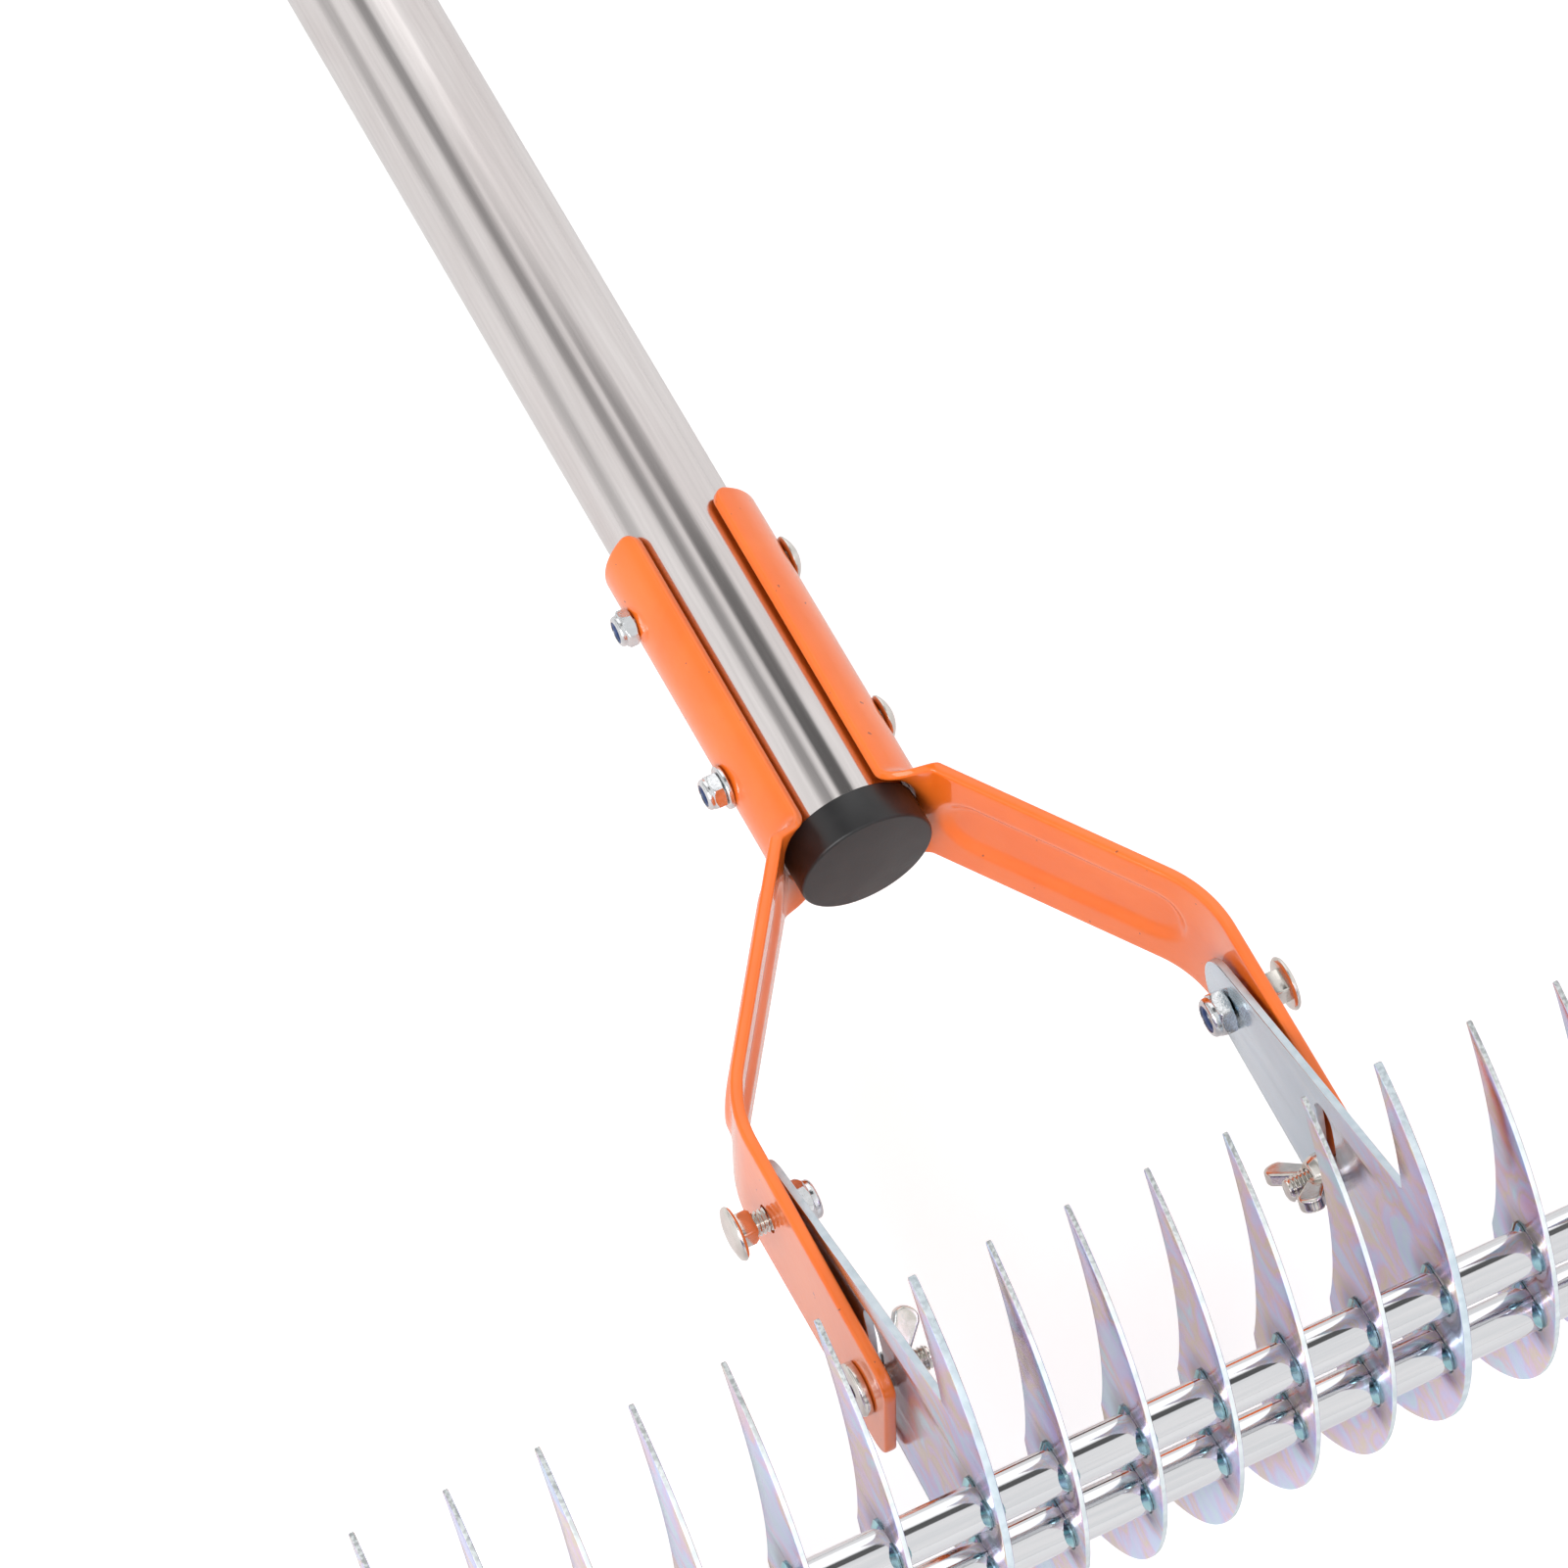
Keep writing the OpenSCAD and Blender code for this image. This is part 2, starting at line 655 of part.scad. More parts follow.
// A wing nut with its foot at x = 0, growing towards +X; its wings stand along y
module wing_nut() {
    end = wing_span / 2 - wing_w / 2;
    rise = wing_rise;
    difference() {
        union() {
            rotate([0, 90, 0])
                cylinder(d1 = wing_boss_d, d2 = wing_boss_d * 0.8, h = wing_boss_h, $fn = 64);
            translate([0, 0, -wing_t / 2]) linear_extrude(wing_t) for (side = [-1, 1]) {
                translate([rise, side * end]) circle(d = wing_w, $fn = 48);
                polygon([[wing_t / 2, 0], [wing_t / 2, side * wing_boss_d * 0.4],
                    [rise - wing_w * 0.25, side * (end + wing_w * 0.433)],
                    [rise + wing_w * 0.433, side * (end - wing_w * 0.25)], [wing_boss_h, 0]]);
            }
        }
        bar_x(-1, hole_r, wing_boss_h + wing_w + 2);
    }
}

module at_wing_nut(angle) {
    translate([plate_in - face_gap, -slot_r, 0]) mirror([1, 0, 0]) rotate([angle, 0, 0]) children();
}

module left_wing_nut() {
    color("gainsboro") laid() mirror([1, 0, 0]) at_wing_nut(left_wing_angle) wing_nut();
}

module right_wing_nut() {
    color("gainsboro") laid() at_wing_nut(right_wing_angle) wing_nut();
}

handle_tube();
lower_cap();
top_cap();
grip_sleeve();
left_arm();
right_arm();
tube_bolts();
tube_nuts();
tube_washer();
pivot_bolts();
pivot_nuts();
nut_rings();
wing_bolts();
left_wing_nut();
right_wing_nut();
left_mount_plate();
right_mount_plate();
upper_rod();
lower_rod();
for (i = [0:len(blade_names) - 1]) blade(i);
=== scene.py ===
import json
import math

import bmesh
import bpy
from mathutils import Matrix, Vector


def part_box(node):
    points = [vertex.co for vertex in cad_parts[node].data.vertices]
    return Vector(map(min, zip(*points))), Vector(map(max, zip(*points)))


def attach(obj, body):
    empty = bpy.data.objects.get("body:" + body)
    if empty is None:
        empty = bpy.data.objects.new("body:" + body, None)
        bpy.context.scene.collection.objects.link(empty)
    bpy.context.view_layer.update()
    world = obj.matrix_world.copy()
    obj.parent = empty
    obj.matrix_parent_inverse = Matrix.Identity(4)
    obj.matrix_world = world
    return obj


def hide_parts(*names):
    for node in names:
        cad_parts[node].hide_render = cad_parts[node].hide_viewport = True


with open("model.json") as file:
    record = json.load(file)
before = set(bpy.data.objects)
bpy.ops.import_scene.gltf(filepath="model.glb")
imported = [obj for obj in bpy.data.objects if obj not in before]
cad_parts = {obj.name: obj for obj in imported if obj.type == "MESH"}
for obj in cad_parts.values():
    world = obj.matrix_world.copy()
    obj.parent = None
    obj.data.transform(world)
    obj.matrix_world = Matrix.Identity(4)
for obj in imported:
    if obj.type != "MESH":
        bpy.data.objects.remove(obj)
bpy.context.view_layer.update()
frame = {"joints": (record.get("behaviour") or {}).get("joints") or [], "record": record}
scene = bpy.context.scene
scene.view_settings.view_transform = "Standard"

# Working frames, both in millimetres from the pivot axis:
# handleFrame: x along the blade row, y up the handle, z towards the upper blade points
# headFrame: x away from the pivot, y towards the upper points, z along the row to the left
pivot = Vector(next(joint for joint in frame["joints"] if joint["name"] == "head_tilt")["pos_m"])
alongRow = Vector((1, 0, 0))
alongHandle = Vector(frame["record"]["mounts"][0]["axis"]).normalized()


def boxMiddle(node):
    low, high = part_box(node)
    return (low + high) / 2


def pivotFrame(first, second, third):
    axes = Matrix((first, second, third)).transposed().to_4x4()
    return Matrix.Translation(pivot) @ axes @ Matrix.Scale(0.001, 4)


rodMiddle = (boxMiddle("upper_rod") + boxMiddle("lower_rod")) / 2
awayFromPivot = (rodMiddle - pivot).normalized()
handleFrame = pivotFrame(alongRow, alongHandle, alongRow.cross(alongHandle))
headFrame = pivotFrame(awayFromPivot, awayFromPivot.cross(alongRow), -alongRow)
bodyFrames = {"handle": handleFrame, "left_wing": handleFrame, "right_wing": handleFrame, "head": headFrame}
layTurn = math.atan2(alongHandle.z, alongHandle.y)


# Mesh helpers

mergeDistance = 1e-4
straightHalf = math.radians(88)  # half of a corner's angle, past which it counts as straight
sideShare = 0.49  # most of a side that one rounded corner takes up


def skin(rings, loop=False):
    bm = bmesh.new()
    rows = [[bm.verts.new(point) for point in ring] for ring in rings]
    pairs = list(zip(rows, rows[1:]))
    if loop:
        pairs.append((rows[-1], rows[0]))
    for near, far in pairs:
        for i in range(len(near)):
            j = (i + 1) % len(near)
            bm.faces.new((near[i], near[j], far[j], far[i]))
    if not loop:
        bm.faces.new(rows[0][::-1])
        bm.faces.new(rows[-1])
    return bm


def storeMesh(bm, name):
    mesh = bpy.data.meshes.new(name)
    bm.to_mesh(mesh)
    bm.free()
    return mesh


def meshOf(bm, name):
    bmesh.ops.remove_doubles(bm, verts=bm.verts, dist=mergeDistance)
    bmesh.ops.recalc_face_normals(bm, faces=bm.faces)
    return storeMesh(bm, name)


def latheRing(radius, along, flats, segments):
    ring = []
    for i in range(segments):
        angle = 2 * math.pi * i / segments
        reach = radius
        if flats:  # six flat sides, cut where they lie inside the circle
            side = (angle + math.pi / 6) % (math.pi / 3) - math.pi / 6
            reach = min(radius, flats / 2 / math.cos(side))
        ring.append(Vector((along, reach * math.cos(angle), reach * math.sin(angle))))
    return ring


def lathe(profile, name, segments=72, loop=False):  # profile: radius, place along x, flats where it has some
    rings = []
    for entry in profile:
        flats = entry[2] if len(entry) > 2 else None
        rings.append(latheRing(entry[0], entry[1], flats, segments))
    return meshOf(skin(rings, loop), name)


def roundCorner(before, corner, after, radius, steps):
    toBefore, toAfter = before - corner, after - corner
    half = toBefore.angle(toAfter) / 2
    if half > straightHalf or radius == 0:
        return [corner]
    reach = min(radius / math.tan(half), sideShare * toBefore.length, sideShare * toAfter.length)
    radius = reach * math.tan(half)
    middle = (toBefore.normalized() + toAfter.normalized()).normalized()
    centre = corner + middle * radius / math.sin(half)
    first = corner + toBefore.normalized() * reach - centre
    last = corner + toAfter.normalized() * reach - centre
    sweep = first.angle(last)
    points = []
    for i in range(steps + 1):
        part = i / steps
        spoke = first * math.sin((1 - part) * sweep) + last * math.sin(part * sweep)
        points.append(centre + spoke / math.sin(sweep))
    return points


def roundCorners(points, steps=4, loop=False):  # points: x, y and the corner's radius where it is round
    corners = [(Vector(entry[:2]), entry[2] if len(entry) > 2 else 0) for entry in points]
    rounded = []
    for i, (corner, radius) in enumerate(corners):
        if not loop and i in (0, len(corners) - 1):
            rounded.append(corner)
            continue
        before = corners[i - 1][0]
        after = corners[(i + 1) % len(corners)][0]
        rounded += roundCorner(before, corner, after, radius, steps)
    return rounded


def turned(points, name, steps=4, segments=72, loop=False):
    return lathe(roundCorners(points, steps, loop), name, segments, loop)


def arc(centre, radius, start, end, steps):
    points = []
    for i in range(steps + 1):
        angle = start + (end - start) * i / steps
        points.append(Vector(centre) + radius * Vector((math.cos(angle), math.sin(angle))))
    return points


def circle(centre, radius, sides=48):
    return arc(centre, radius, 0, 2 * math.pi * (sides - 1) / sides, sides - 1)


def addObject(name, data):
    obj = bpy.data.objects.new(name, data)
    scene.collection.objects.link(obj)
    return obj


def takeMesh(obj):  # the object's finished mesh, once its modifiers have run
    bpy.context.view_layer.update()
    mesh = bpy.data.meshes.new_from_object(obj.evaluated_get(bpy.context.evaluated_depsgraph_get()))
    bpy.data.objects.remove(obj)
    return mesh


def joinMeshes(name, *meshes):
    bm = bmesh.new()
    for mesh in meshes:
        bm.from_mesh(mesh)
    return storeMesh(bm, name)


def drill(mesh, cutter):
    solid, tool = addObject("solid", mesh), addObject("tool", cutter)
    modifier = solid.modifiers.new("holes", "BOOLEAN")
    modifier.solver = "MANIFOLD"
    modifier.object = tool
    drilled = takeMesh(solid)
    bpy.data.objects.remove(tool)
    return drilled


def crossPins(name, pins, segments=48):
    parts = []
    for x, y, radius, length in pins:
        pin = lathe([(radius, 0), (radius, length)], name, segments)
        pin.transform(Matrix.Translation((x, y, 0)))
        parts.append(pin)
    return joinMeshes(name, *parts)


sharpAngles = {  # degrees past which an edge stays sharp
    "stainless_tube": 35, "cap_plastic": 35, "grip_rubber": 35, "orange_paint": 50, "zinc_sheet": 28,
    "rod_steel": 35, "nickel_fastener": 40, "zinc_fastener": 30, "blue_nylon": 40}


def finishPiece(name, mesh, body, slot, nodes, place=Matrix(), edgeFinish=None):
    mesh.transform(bodyFrames[body] @ place)
    materials = [finishes[slot]] + ([edgeFinish] if edgeFinish else [])
    indices = [min(face.material_index, len(materials) - 1) for face in mesh.polygons]
    mesh.materials.clear()
    for material in materials:
        mesh.materials.append(material)
    mesh.polygons.foreach_set("material_index", indices)
    mesh.shade_smooth()
    mesh.set_sharp_from_angle(angle=math.radians(sharpAngles[slot]))
    piece = addObject(name, mesh)
    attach(piece, body)
    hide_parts(*nodes)
    print("piece:", name, len(mesh.polygons), "faces")
    return piece


# Node helpers and two Geometry Nodes trees: one sets copies on marked places, the other winds a thread

def addNode(tree, kind, inputs=(), **settings):  # an input takes a plain value or another node's output
    node = tree.nodes.new(kind)
    for name, value in settings.items():
        setattr(node, name, value)
    for socket, value in dict(inputs).items():
        if isinstance(value, bpy.types.NodeSocket):
            tree.links.new(value, node.inputs[socket])
        else:
            node.inputs[socket].default_value = value
    return node


def mathNode(tree, operation, first, second):
    return addNode(tree, "ShaderNodeMath", {0: first, 1: second}, operation=operation).outputs[0]


def newTree(name, inputs):
    tree = bpy.data.node_groups.new(name, "GeometryNodeTree")
    tree.interface.new_socket("Geometry", in_out="INPUT", socket_type="NodeSocketGeometry")
    for label, kind in inputs.items():
        tree.interface.new_socket(label, in_out="INPUT", socket_type="NodeSocket" + kind)
    tree.interface.new_socket("Geometry", in_out="OUTPUT", socket_type="NodeSocketGeometry")
    return tree, tree.nodes.new("NodeGroupInput").outputs


def endTree(tree, finish, pieces):
    join = tree.nodes.new("GeometryNodeJoinGeometry")
    for output in pieces:
        tree.links.new(output, join.inputs[0])
    whole = addNode(tree, "GeometryNodeRealizeInstances", {0: join.outputs[0]})
    painted = addNode(tree, "GeometryNodeSetMaterial", {"Geometry": whole.outputs[0], "Material": finish})
    addNode(tree, "NodeGroupOutput", {0: painted.outputs[0]})


def growMesh(tree, mesh, settings):
    holder = addObject("holder", mesh)
    modifier = holder.modifiers.new("grow", "NODES")
    modifier.node_group = tree
    for item in tree.interface.items_tree:
        if item.in_out == "INPUT" and item.name in settings:
            modifier[item.identifier] = settings[item.name]
    return takeMesh(holder)


def makeRepeatTree():
    tree, given = newTree("repeatOnPlaces", {
        "Template": "Object", "Places": "Object", "Lean": "Vector", "Seed": "Int", "Finish": "Material"})
    template = addNode(tree, "GeometryNodeObjectInfo", {"Object": given["Template"]})
    places = addNode(tree, "GeometryNodeObjectInfo", {"Object": given["Places"]})
    turn = addNode(tree, "GeometryNodeInputNamedAttribute", {"Name": "turn"}, data_type="FLOAT_VECTOR")
    otherWay = addNode(tree, "ShaderNodeVectorMath", {0: given["Lean"], "Scale": -1}, operation="SCALE")
    leanRange = {0: otherWay.outputs[0], 1: given["Lean"], "Seed": given["Seed"]}
    lean = addNode(tree, "FunctionNodeRandomValue", leanRange, data_type="FLOAT_VECTOR")
    both = addNode(tree, "ShaderNodeVectorMath", {0: turn.outputs["Attribute"], 1: lean.outputs[0]})
    rotation = addNode(tree, "FunctionNodeEulerToRotation", {0: both.outputs[0]})
    copies = addNode(tree, "GeometryNodeInstanceOnPoints", {
        "Points": places.outputs["Geometry"], "Instance": template.outputs["Geometry"],
        "Rotation": rotation.outputs[0]})
    endTree(tree, given["Finish"], [given["Geometry"], copies.outputs[0]])
    return tree


def makeThreadTree(sides=28, ridgeSides=4):
    tree, given = newTree("windThread", {
        "Length": "Float", "Pitch": "Float", "Root": "Float", "Depth": "Float", "Finish": "Material"})
    length, root = given["Length"], given["Root"]
    turns = mathNode(tree, "DIVIDE", length, given["Pitch"])
    coil = addNode(tree, "GeometryNodeCurveSpiral", {
        "Resolution": sides, "Rotations": turns, "Start Radius": root, "End Radius": root, "Height": length})
    upright = addNode(tree, "GeometryNodeSetCurveNormal", {"Curve": coil.outputs[0]}, mode="Z_UP")
    ridge = addNode(tree, "GeometryNodeCurvePrimitiveCircle", {
        "Resolution": ridgeSides, "Radius": given["Depth"]})
    sweep = addNode(tree, "GeometryNodeCurveToMesh", {
        "Curve": upright.outputs[0], "Profile Curve": ridge.outputs[0], "Fill Caps": True})
    core = addNode(tree, "GeometryNodeMeshCylinder", {"Vertices": sides, "Radius": root, "Depth": length})
    lift = addNode(tree, "ShaderNodeCombineXYZ", {"Z": mathNode(tree, "MULTIPLY", length, 0.5)})
    raised = addNode(tree, "GeometryNodeTransform", {
        "Geometry": core.outputs["Mesh"], "Translation": lift.outputs[0]})
    endTree(tree, given["Finish"], [sweep.outputs[0], raised.outputs[0]])
    return tree


repeatTree = makeRepeatTree()
threadTree = makeThreadTree()


def repeatPiece(template, places, finish, carrier=None, lean=(0, 0, 0), seed=1):
    marks = bpy.data.meshes.new("marks")
    marks.from_pydata([place for place, turn in places], [], [])
    turns = marks.attributes.new("turn", "FLOAT_VECTOR", "POINT")
    for i, (place, turn) in enumerate(places):
        turns.data[i].vector = turn
    templateObject, marksObject = addObject("template", template), addObject("marks", marks)
    settings = {
        "Template": templateObject, "Places": marksObject, "Lean": lean, "Seed": seed, "Finish": finish}
    grown = growMesh(repeatTree, carrier or bpy.data.meshes.new("bare"), settings)
    bpy.data.objects.remove(templateObject)
    bpy.data.objects.remove(marksObject)
    return grown


# Materials, with sizes in metres

grainLow, grainHigh = 0.3, 0.7  # most of a grain's values lie between these


def newFinish(name, values):
    material = bpy.data.materials.new(name)
    material.use_nodes = True
    shader = material.node_tree.nodes["Principled BSDF"]
    for socket, value in values.items():
        shader.inputs[socket].default_value = value
    return material, material.node_tree


def surfacePlace(tree, stretch=(1, 1, 1), turn=(0, 0, 0)):
    place = addNode(tree, "ShaderNodeTexCoord").outputs["Object"]
    mapping = addNode(tree, "ShaderNodeMapping", {"Vector": place, "Scale": stretch, "Rotation": turn})
    return mapping.outputs[0]


def placeAlong(tree, axis):
    return addNode(tree, "ShaderNodeSeparateXYZ", {0: surfacePlace(tree)}).outputs[axis]


def grain(tree, size, stretch=(1, 1, 1), turn=(0, 0, 0), detail=3, distortion=0):
    noise = addNode(tree, "ShaderNodeTexNoise", {
        "Vector": surfacePlace(tree, stretch, turn), "Scale": 1 / size, "Detail": detail,
        "Distortion": distortion})
    return noise.outputs["Fac"]


def tones(tree, factor, stops):
    ramp = addNode(tree, "ShaderNodeValToRGB", {"Fac": factor})
    elements = ramp.color_ramp.elements
    while len(elements) < len(stops):
        elements.new(0.5)
    for element, (position, colour) in zip(elements, stops):
        element.position = position
        element.color = (*colour, 1)
    return ramp.outputs["Color"]


def tonePair(tree, factor, pair, reach=0.15):  # from the first tone to the second around the grain's middle
    return tones(tree, factor, [(0.5 - reach, pair[0]), (0.5 + reach, pair[1])])


def spread(tree, factor, start, end, low, high):
    inputs = {"Value": factor, "From Min": start, "From Max": end, "To Min": low, "To Max": high}
    return addNode(tree, "ShaderNodeMapRange", inputs, interpolation_type="SMOOTHSTEP").outputs["Result"]


def blendTones(tree, factor, first, second):
    return addNode(tree, "ShaderNodeMix", {0: factor, 6: first, 7: second}, data_type="RGBA").outputs[2]


def dress(material, look, colour, relief, rough=None):
    tree = material.node_tree
    shader = tree.nodes["Principled BSDF"]
    bump = addNode(tree, "ShaderNodeBump", {"Strength": 1, "Distance": look["depth"], "Height": relief})
    tree.links.new(bump.outputs[0], shader.inputs["Normal"])
    tree.links.new(colour, shader.inputs["Base Color"])
    if rough is not None:
        shine = spread(tree, rough, grainLow, grainHigh, *look["roughness"])
        tree.links.new(shine, shader.inputs["Roughness"])
    return material


stainless = dict(
    lines=dict(size=0.0011, stretch=(1, 0.02, 1), turn=(-layTurn, 0, 0), detail=4), depth=0.000012,
    clouds=dict(size=0.03, stretch=(1, 0.3, 1), detail=4, distortion=0.6), roughness=(0.12, 0.17),
    pale=((0.66, 0.62, 0.61), (0.74, 0.70, 0.69)), warm=((0.62, 0.575, 0.565), (0.70, 0.65, 0.64)),
    warmRange=(0.4, 0.6))


def satinStainless():
    material, tree = newFinish("satinStainless", {"Metallic": 1})
    lines, clouds = grain(tree, **stainless["lines"]), grain(tree, **stainless["clouds"])
    pale, warm = [tonePair(tree, lines, stainless[tone], reach=0.2) for tone in ("pale", "warm")]
    warmed = spread(tree, clouds, *stainless["warmRange"], 0, 1)
    return dress(material, stainless, blendTones(tree, warmed, pale, warm), lines, clouds)


paint = dict(
    shader={
        "Roughness": 0.4, "Specular IOR Level": 0.1, "Coat Weight": 0.95, "Coat Roughness": 0.05,
        "Coat IOR": 1.55},
    clouds=dict(size=0.02, distortion=0.4), tones=((0.96, 0.17, 0.014), (1.0, 0.195, 0.02)),
    peel=dict(size=0.0022, detail=2), depth=0.00005, specks=dict(size=0.0019, detail=1), speckStart=0.79,
    speckEnd=0.8, speckShare=0.7, speckTones=[(0.5, (0.24, 0.05, 0.02)), (0.6, (0.16, 0.05, 0.03))])


def orangePaint():
    material, tree = newFinish("orangePaint", paint["shader"])
    plain = tonePair(tree, grain(tree, **paint["clouds"]), paint["tones"])
    specks = grain(tree, **paint["specks"])
    chips = tones(tree, specks, paint["speckTones"])
    chipped = spread(tree, specks, paint["speckStart"], paint["speckEnd"], 0, paint["speckShare"])
    return dress(material, paint, blendTones(tree, chipped, plain, chips), grain(tree, **paint["peel"]))


cloudsOnPlastic, cloudsOnMetal = dict(size=0.012, distortion=0.5), dict(size=0.004, distortion=0.6)


def cloudedFinish(name, metallic, pair, roughness, pitSize, depth):
    material, tree = newFinish(name, {"Metallic": metallic})
    clouds = grain(tree, **(cloudsOnMetal if metallic else cloudsOnPlastic))
    pits = grain(tree, pitSize, detail=4 if metallic else 3)
    look = dict(roughness=roughness, depth=depth)
    return dress(material, look, tonePair(tree, clouds, pair), pits, clouds)


zincSheet = dict(
    drift=dict(size=0.014, stretch=(0.9, 0.7, 1), turn=(0.6, 0, 0), distortion=0.9),
    streaks=dict(size=0.004, stretch=(1, 0.25, 1.2), turn=(0.6, 0, 0), detail=2), depth=0.000008,
    roughness=(0.19, 0.25), plain=((0.62, 0.74, 0.82), (0.67, 0.79, 0.88)),
    # shadeFrom, shadeFull, shade and shadeTones give the painted shade on the sheets near the rods
    shadeFrom=0.014, shadeFull=0.006, shade=0.66, shadeTones=((0.20, 0.16, 0.19), (0.26, 0.20, 0.22)),
    tintFrom=0.05, tintFull=0.036, tint=0.95,  # tints set in from the mount plates' arms to the blades
    tints=[
        (0.32, (0.57, 0.75, 0.88)), (0.4, (0.60, 0.69, 0.94)), (0.46, (0.67, 0.60, 0.90)),
        (0.52, (0.78, 0.56, 0.72)), (0.57, (0.76, 0.62, 0.48)), (0.62, (0.74, 0.58, 0.76)),
        (0.7, (0.56, 0.76, 0.86))])


def paintedRodShade(tree):  # painted shade mask: 1 on a sheet near the rods, where little light gets in, and 0 away from them
    flat = surfacePlace(tree, (0, 1, 1))
    nearest = 1
    for node in ("upper_rod", "lower_rod"):
        middle = boxMiddle(node)
        ends = {0: flat, 1: (0, middle.y, middle.z)}
        reach = addNode(tree, "ShaderNodeVectorMath", ends, operation="DISTANCE").outputs["Value"]
        nearest = mathNode(tree, "MINIMUM", reach, nearest)
    return spread(tree, nearest, zincSheet["shadeFull"], zincSheet["shadeFrom"], 1, 0)


def rainbowZinc():
    material, tree = newFinish("rainbowZinc", {"Metallic": 1})
    drift, streaks = grain(tree, **zincSheet["drift"]), grain(tree, **zincSheet["streaks"])
    low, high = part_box("left_mount_plate")
    start, end = high.y - zincSheet["tintFrom"], low.y + zincSheet["tintFull"]
    tinted = spread(tree, placeAlong(tree, "Y"), start, end, 0, zincSheet["tint"])
    plain = tonePair(tree, streaks, zincSheet["plain"], reach=0.2)
    clean = blendTones(tree, tinted, plain, tones(tree, drift, zincSheet["tints"]))
    # painted shade: the sheets' colour turns darker near the rods, where little light gets in
    paintedShadeMask = mathNode(tree, "MULTIPLY", paintedRodShade(tree), zincSheet["shade"])
    paintedShadeTone = tonePair(tree, streaks, zincSheet["shadeTones"], reach=0.2)
    return dress(material, zincSheet, blendTones(tree, paintedShadeMask, clean, paintedShadeTone), streaks, streaks)


rim = dict(  # heights are measured down from the blades' upper points
    # painted shade: the rims take darker tones lower down, where less light falls on them
    paintedLowShadeFrom=0.025, paintedLowShadeFull=0.075, paintedTipShadeFrom=0.014, paintedTipShadeFull=0.001, pits=dict(size=0.0006, detail=4),
    depth=0.00005, clouds=dict(size=0.004, distortion=0.6), speckle=dict(size=0.0009, detail=2),
    roughness=(0.36, 0.5), metallic=0.3, paintedLowShade=((0.42, 0.49, 0.52), (0.56, 0.62, 0.65)),
    paintedTipShade=((0.20, 0.21, 0.21), (0.52, 0.55, 0.55)))


def shearedEdge(name, pair, paintedShadeShare):  # the last argument: how far the lower rims and the points turn to their painted shade
    material, tree = newFinish(name, {"Metallic": rim["metallic"]})
    height, tip = placeAlong(tree, "Z"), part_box("blade_1")[1].z
    clouds, speckle, pits = [grain(tree, **rim[layer]) for layer in ("clouds", "speckle", "pits")]
    # painted shade: darker rim tones lower down
    paintedLowShadeMask = spread(tree, height, tip - rim["paintedLowShadeFrom"], tip - rim["paintedLowShadeFull"], 0, paintedShadeShare)
    # painted shade: a darker grey at the points, where the turning rim catches less light
    paintedTipShadeMask = spread(tree, height, tip - rim["paintedTipShadeFrom"], tip - rim["paintedTipShadeFull"], 0, paintedShadeShare)
    clean = blendTones(tree, paintedLowShadeMask, tonePair(tree, clouds, pair), tonePair(tree, clouds, rim["paintedLowShade"]))
    paintedTipShade = tonePair(tree, speckle, rim["paintedTipShade"], reach=0.1)
    return dress(material, rim, blendTones(tree, paintedTipShadeMask, clean, paintedTipShade), pits, clouds)


mirror = dict(
    lines=dict(size=0.0012, stretch=(0.04, 1, 1)), pits=dict(size=0.0012, stretch=(0.4, 1, 1), detail=2),
    depth=0.000006, tones=((0.66, 0.67, 0.69), (0.72, 0.72, 0.735)), roughness=(0.05, 0.1))


def mirrorSteel():
    material, tree = newFinish("mirrorSteel", {"Metallic": 1})
    lines, pits = grain(tree, **mirror["lines"]), grain(tree, **mirror["pits"])
    return dress(material, mirror, tonePair(tree, lines, mirror["tones"]), pits, lines)


# One finish for each slot. A clouded one takes metal or not, dark and light tone, roughness range, size and
# depth of the pits
finishes = {
    "stainless_tube": satinStainless(),
    "cap_plastic": cloudedFinish(
        "satinBlackPlastic", 0, ((0.012, 0.012, 0.013), (0.02, 0.019, 0.02)), (0.3, 0.42), 0.0006, 0.00002),
    "grip_rubber": cloudedFinish(
        "softGripRubber", 0, ((0.012, 0.012, 0.013), (0.022, 0.022, 0.023)), (0.6, 0.75), 0.0009, 0.00008),
    "orange_paint": orangePaint(),
    "zinc_fastener": cloudedFinish(
        "brightZinc", 1, ((0.60, 0.615, 0.63), (0.76, 0.77, 0.78)), (0.1, 0.22), 0.0006, 0.00006),
    "nickel_fastener": cloudedFinish(
        "warmNickel", 1, ((0.62, 0.59, 0.545), (0.75, 0.72, 0.68)), (0.1, 0.2), 0.0009, 0.00002),
    "blue_nylon": cloudedFinish(
        "blueNylon", 0, ((0.03, 0.055, 0.15), (0.06, 0.10, 0.25)), (0.3, 0.4), 0.0008, 0.00002),
    "zinc_sheet": rainbowZinc(),
    "rod_steel": mirrorSteel(),
}
bladeRim = shearedEdge("shearedZincEdge", ((0.70, 0.76, 0.78), (0.87, 0.91, 0.92)), 0.8)
plateRim = shearedEdge("plateZincEdge", ((0.53, 0.63, 0.70), (0.66, 0.75, 0.81)), 0.45)
stakedSteel = cloudedFinish(
    "stakedSteel", 1, ((0.24, 0.45, 0.50), (0.38, 0.60, 0.64)), (0.16, 0.26), 0.001, 0.00002)
nickel = finishes["nickel_fastener"]
print("finishes:", len(finishes), "slots")


# Handle: tube, two push-on caps and the grip

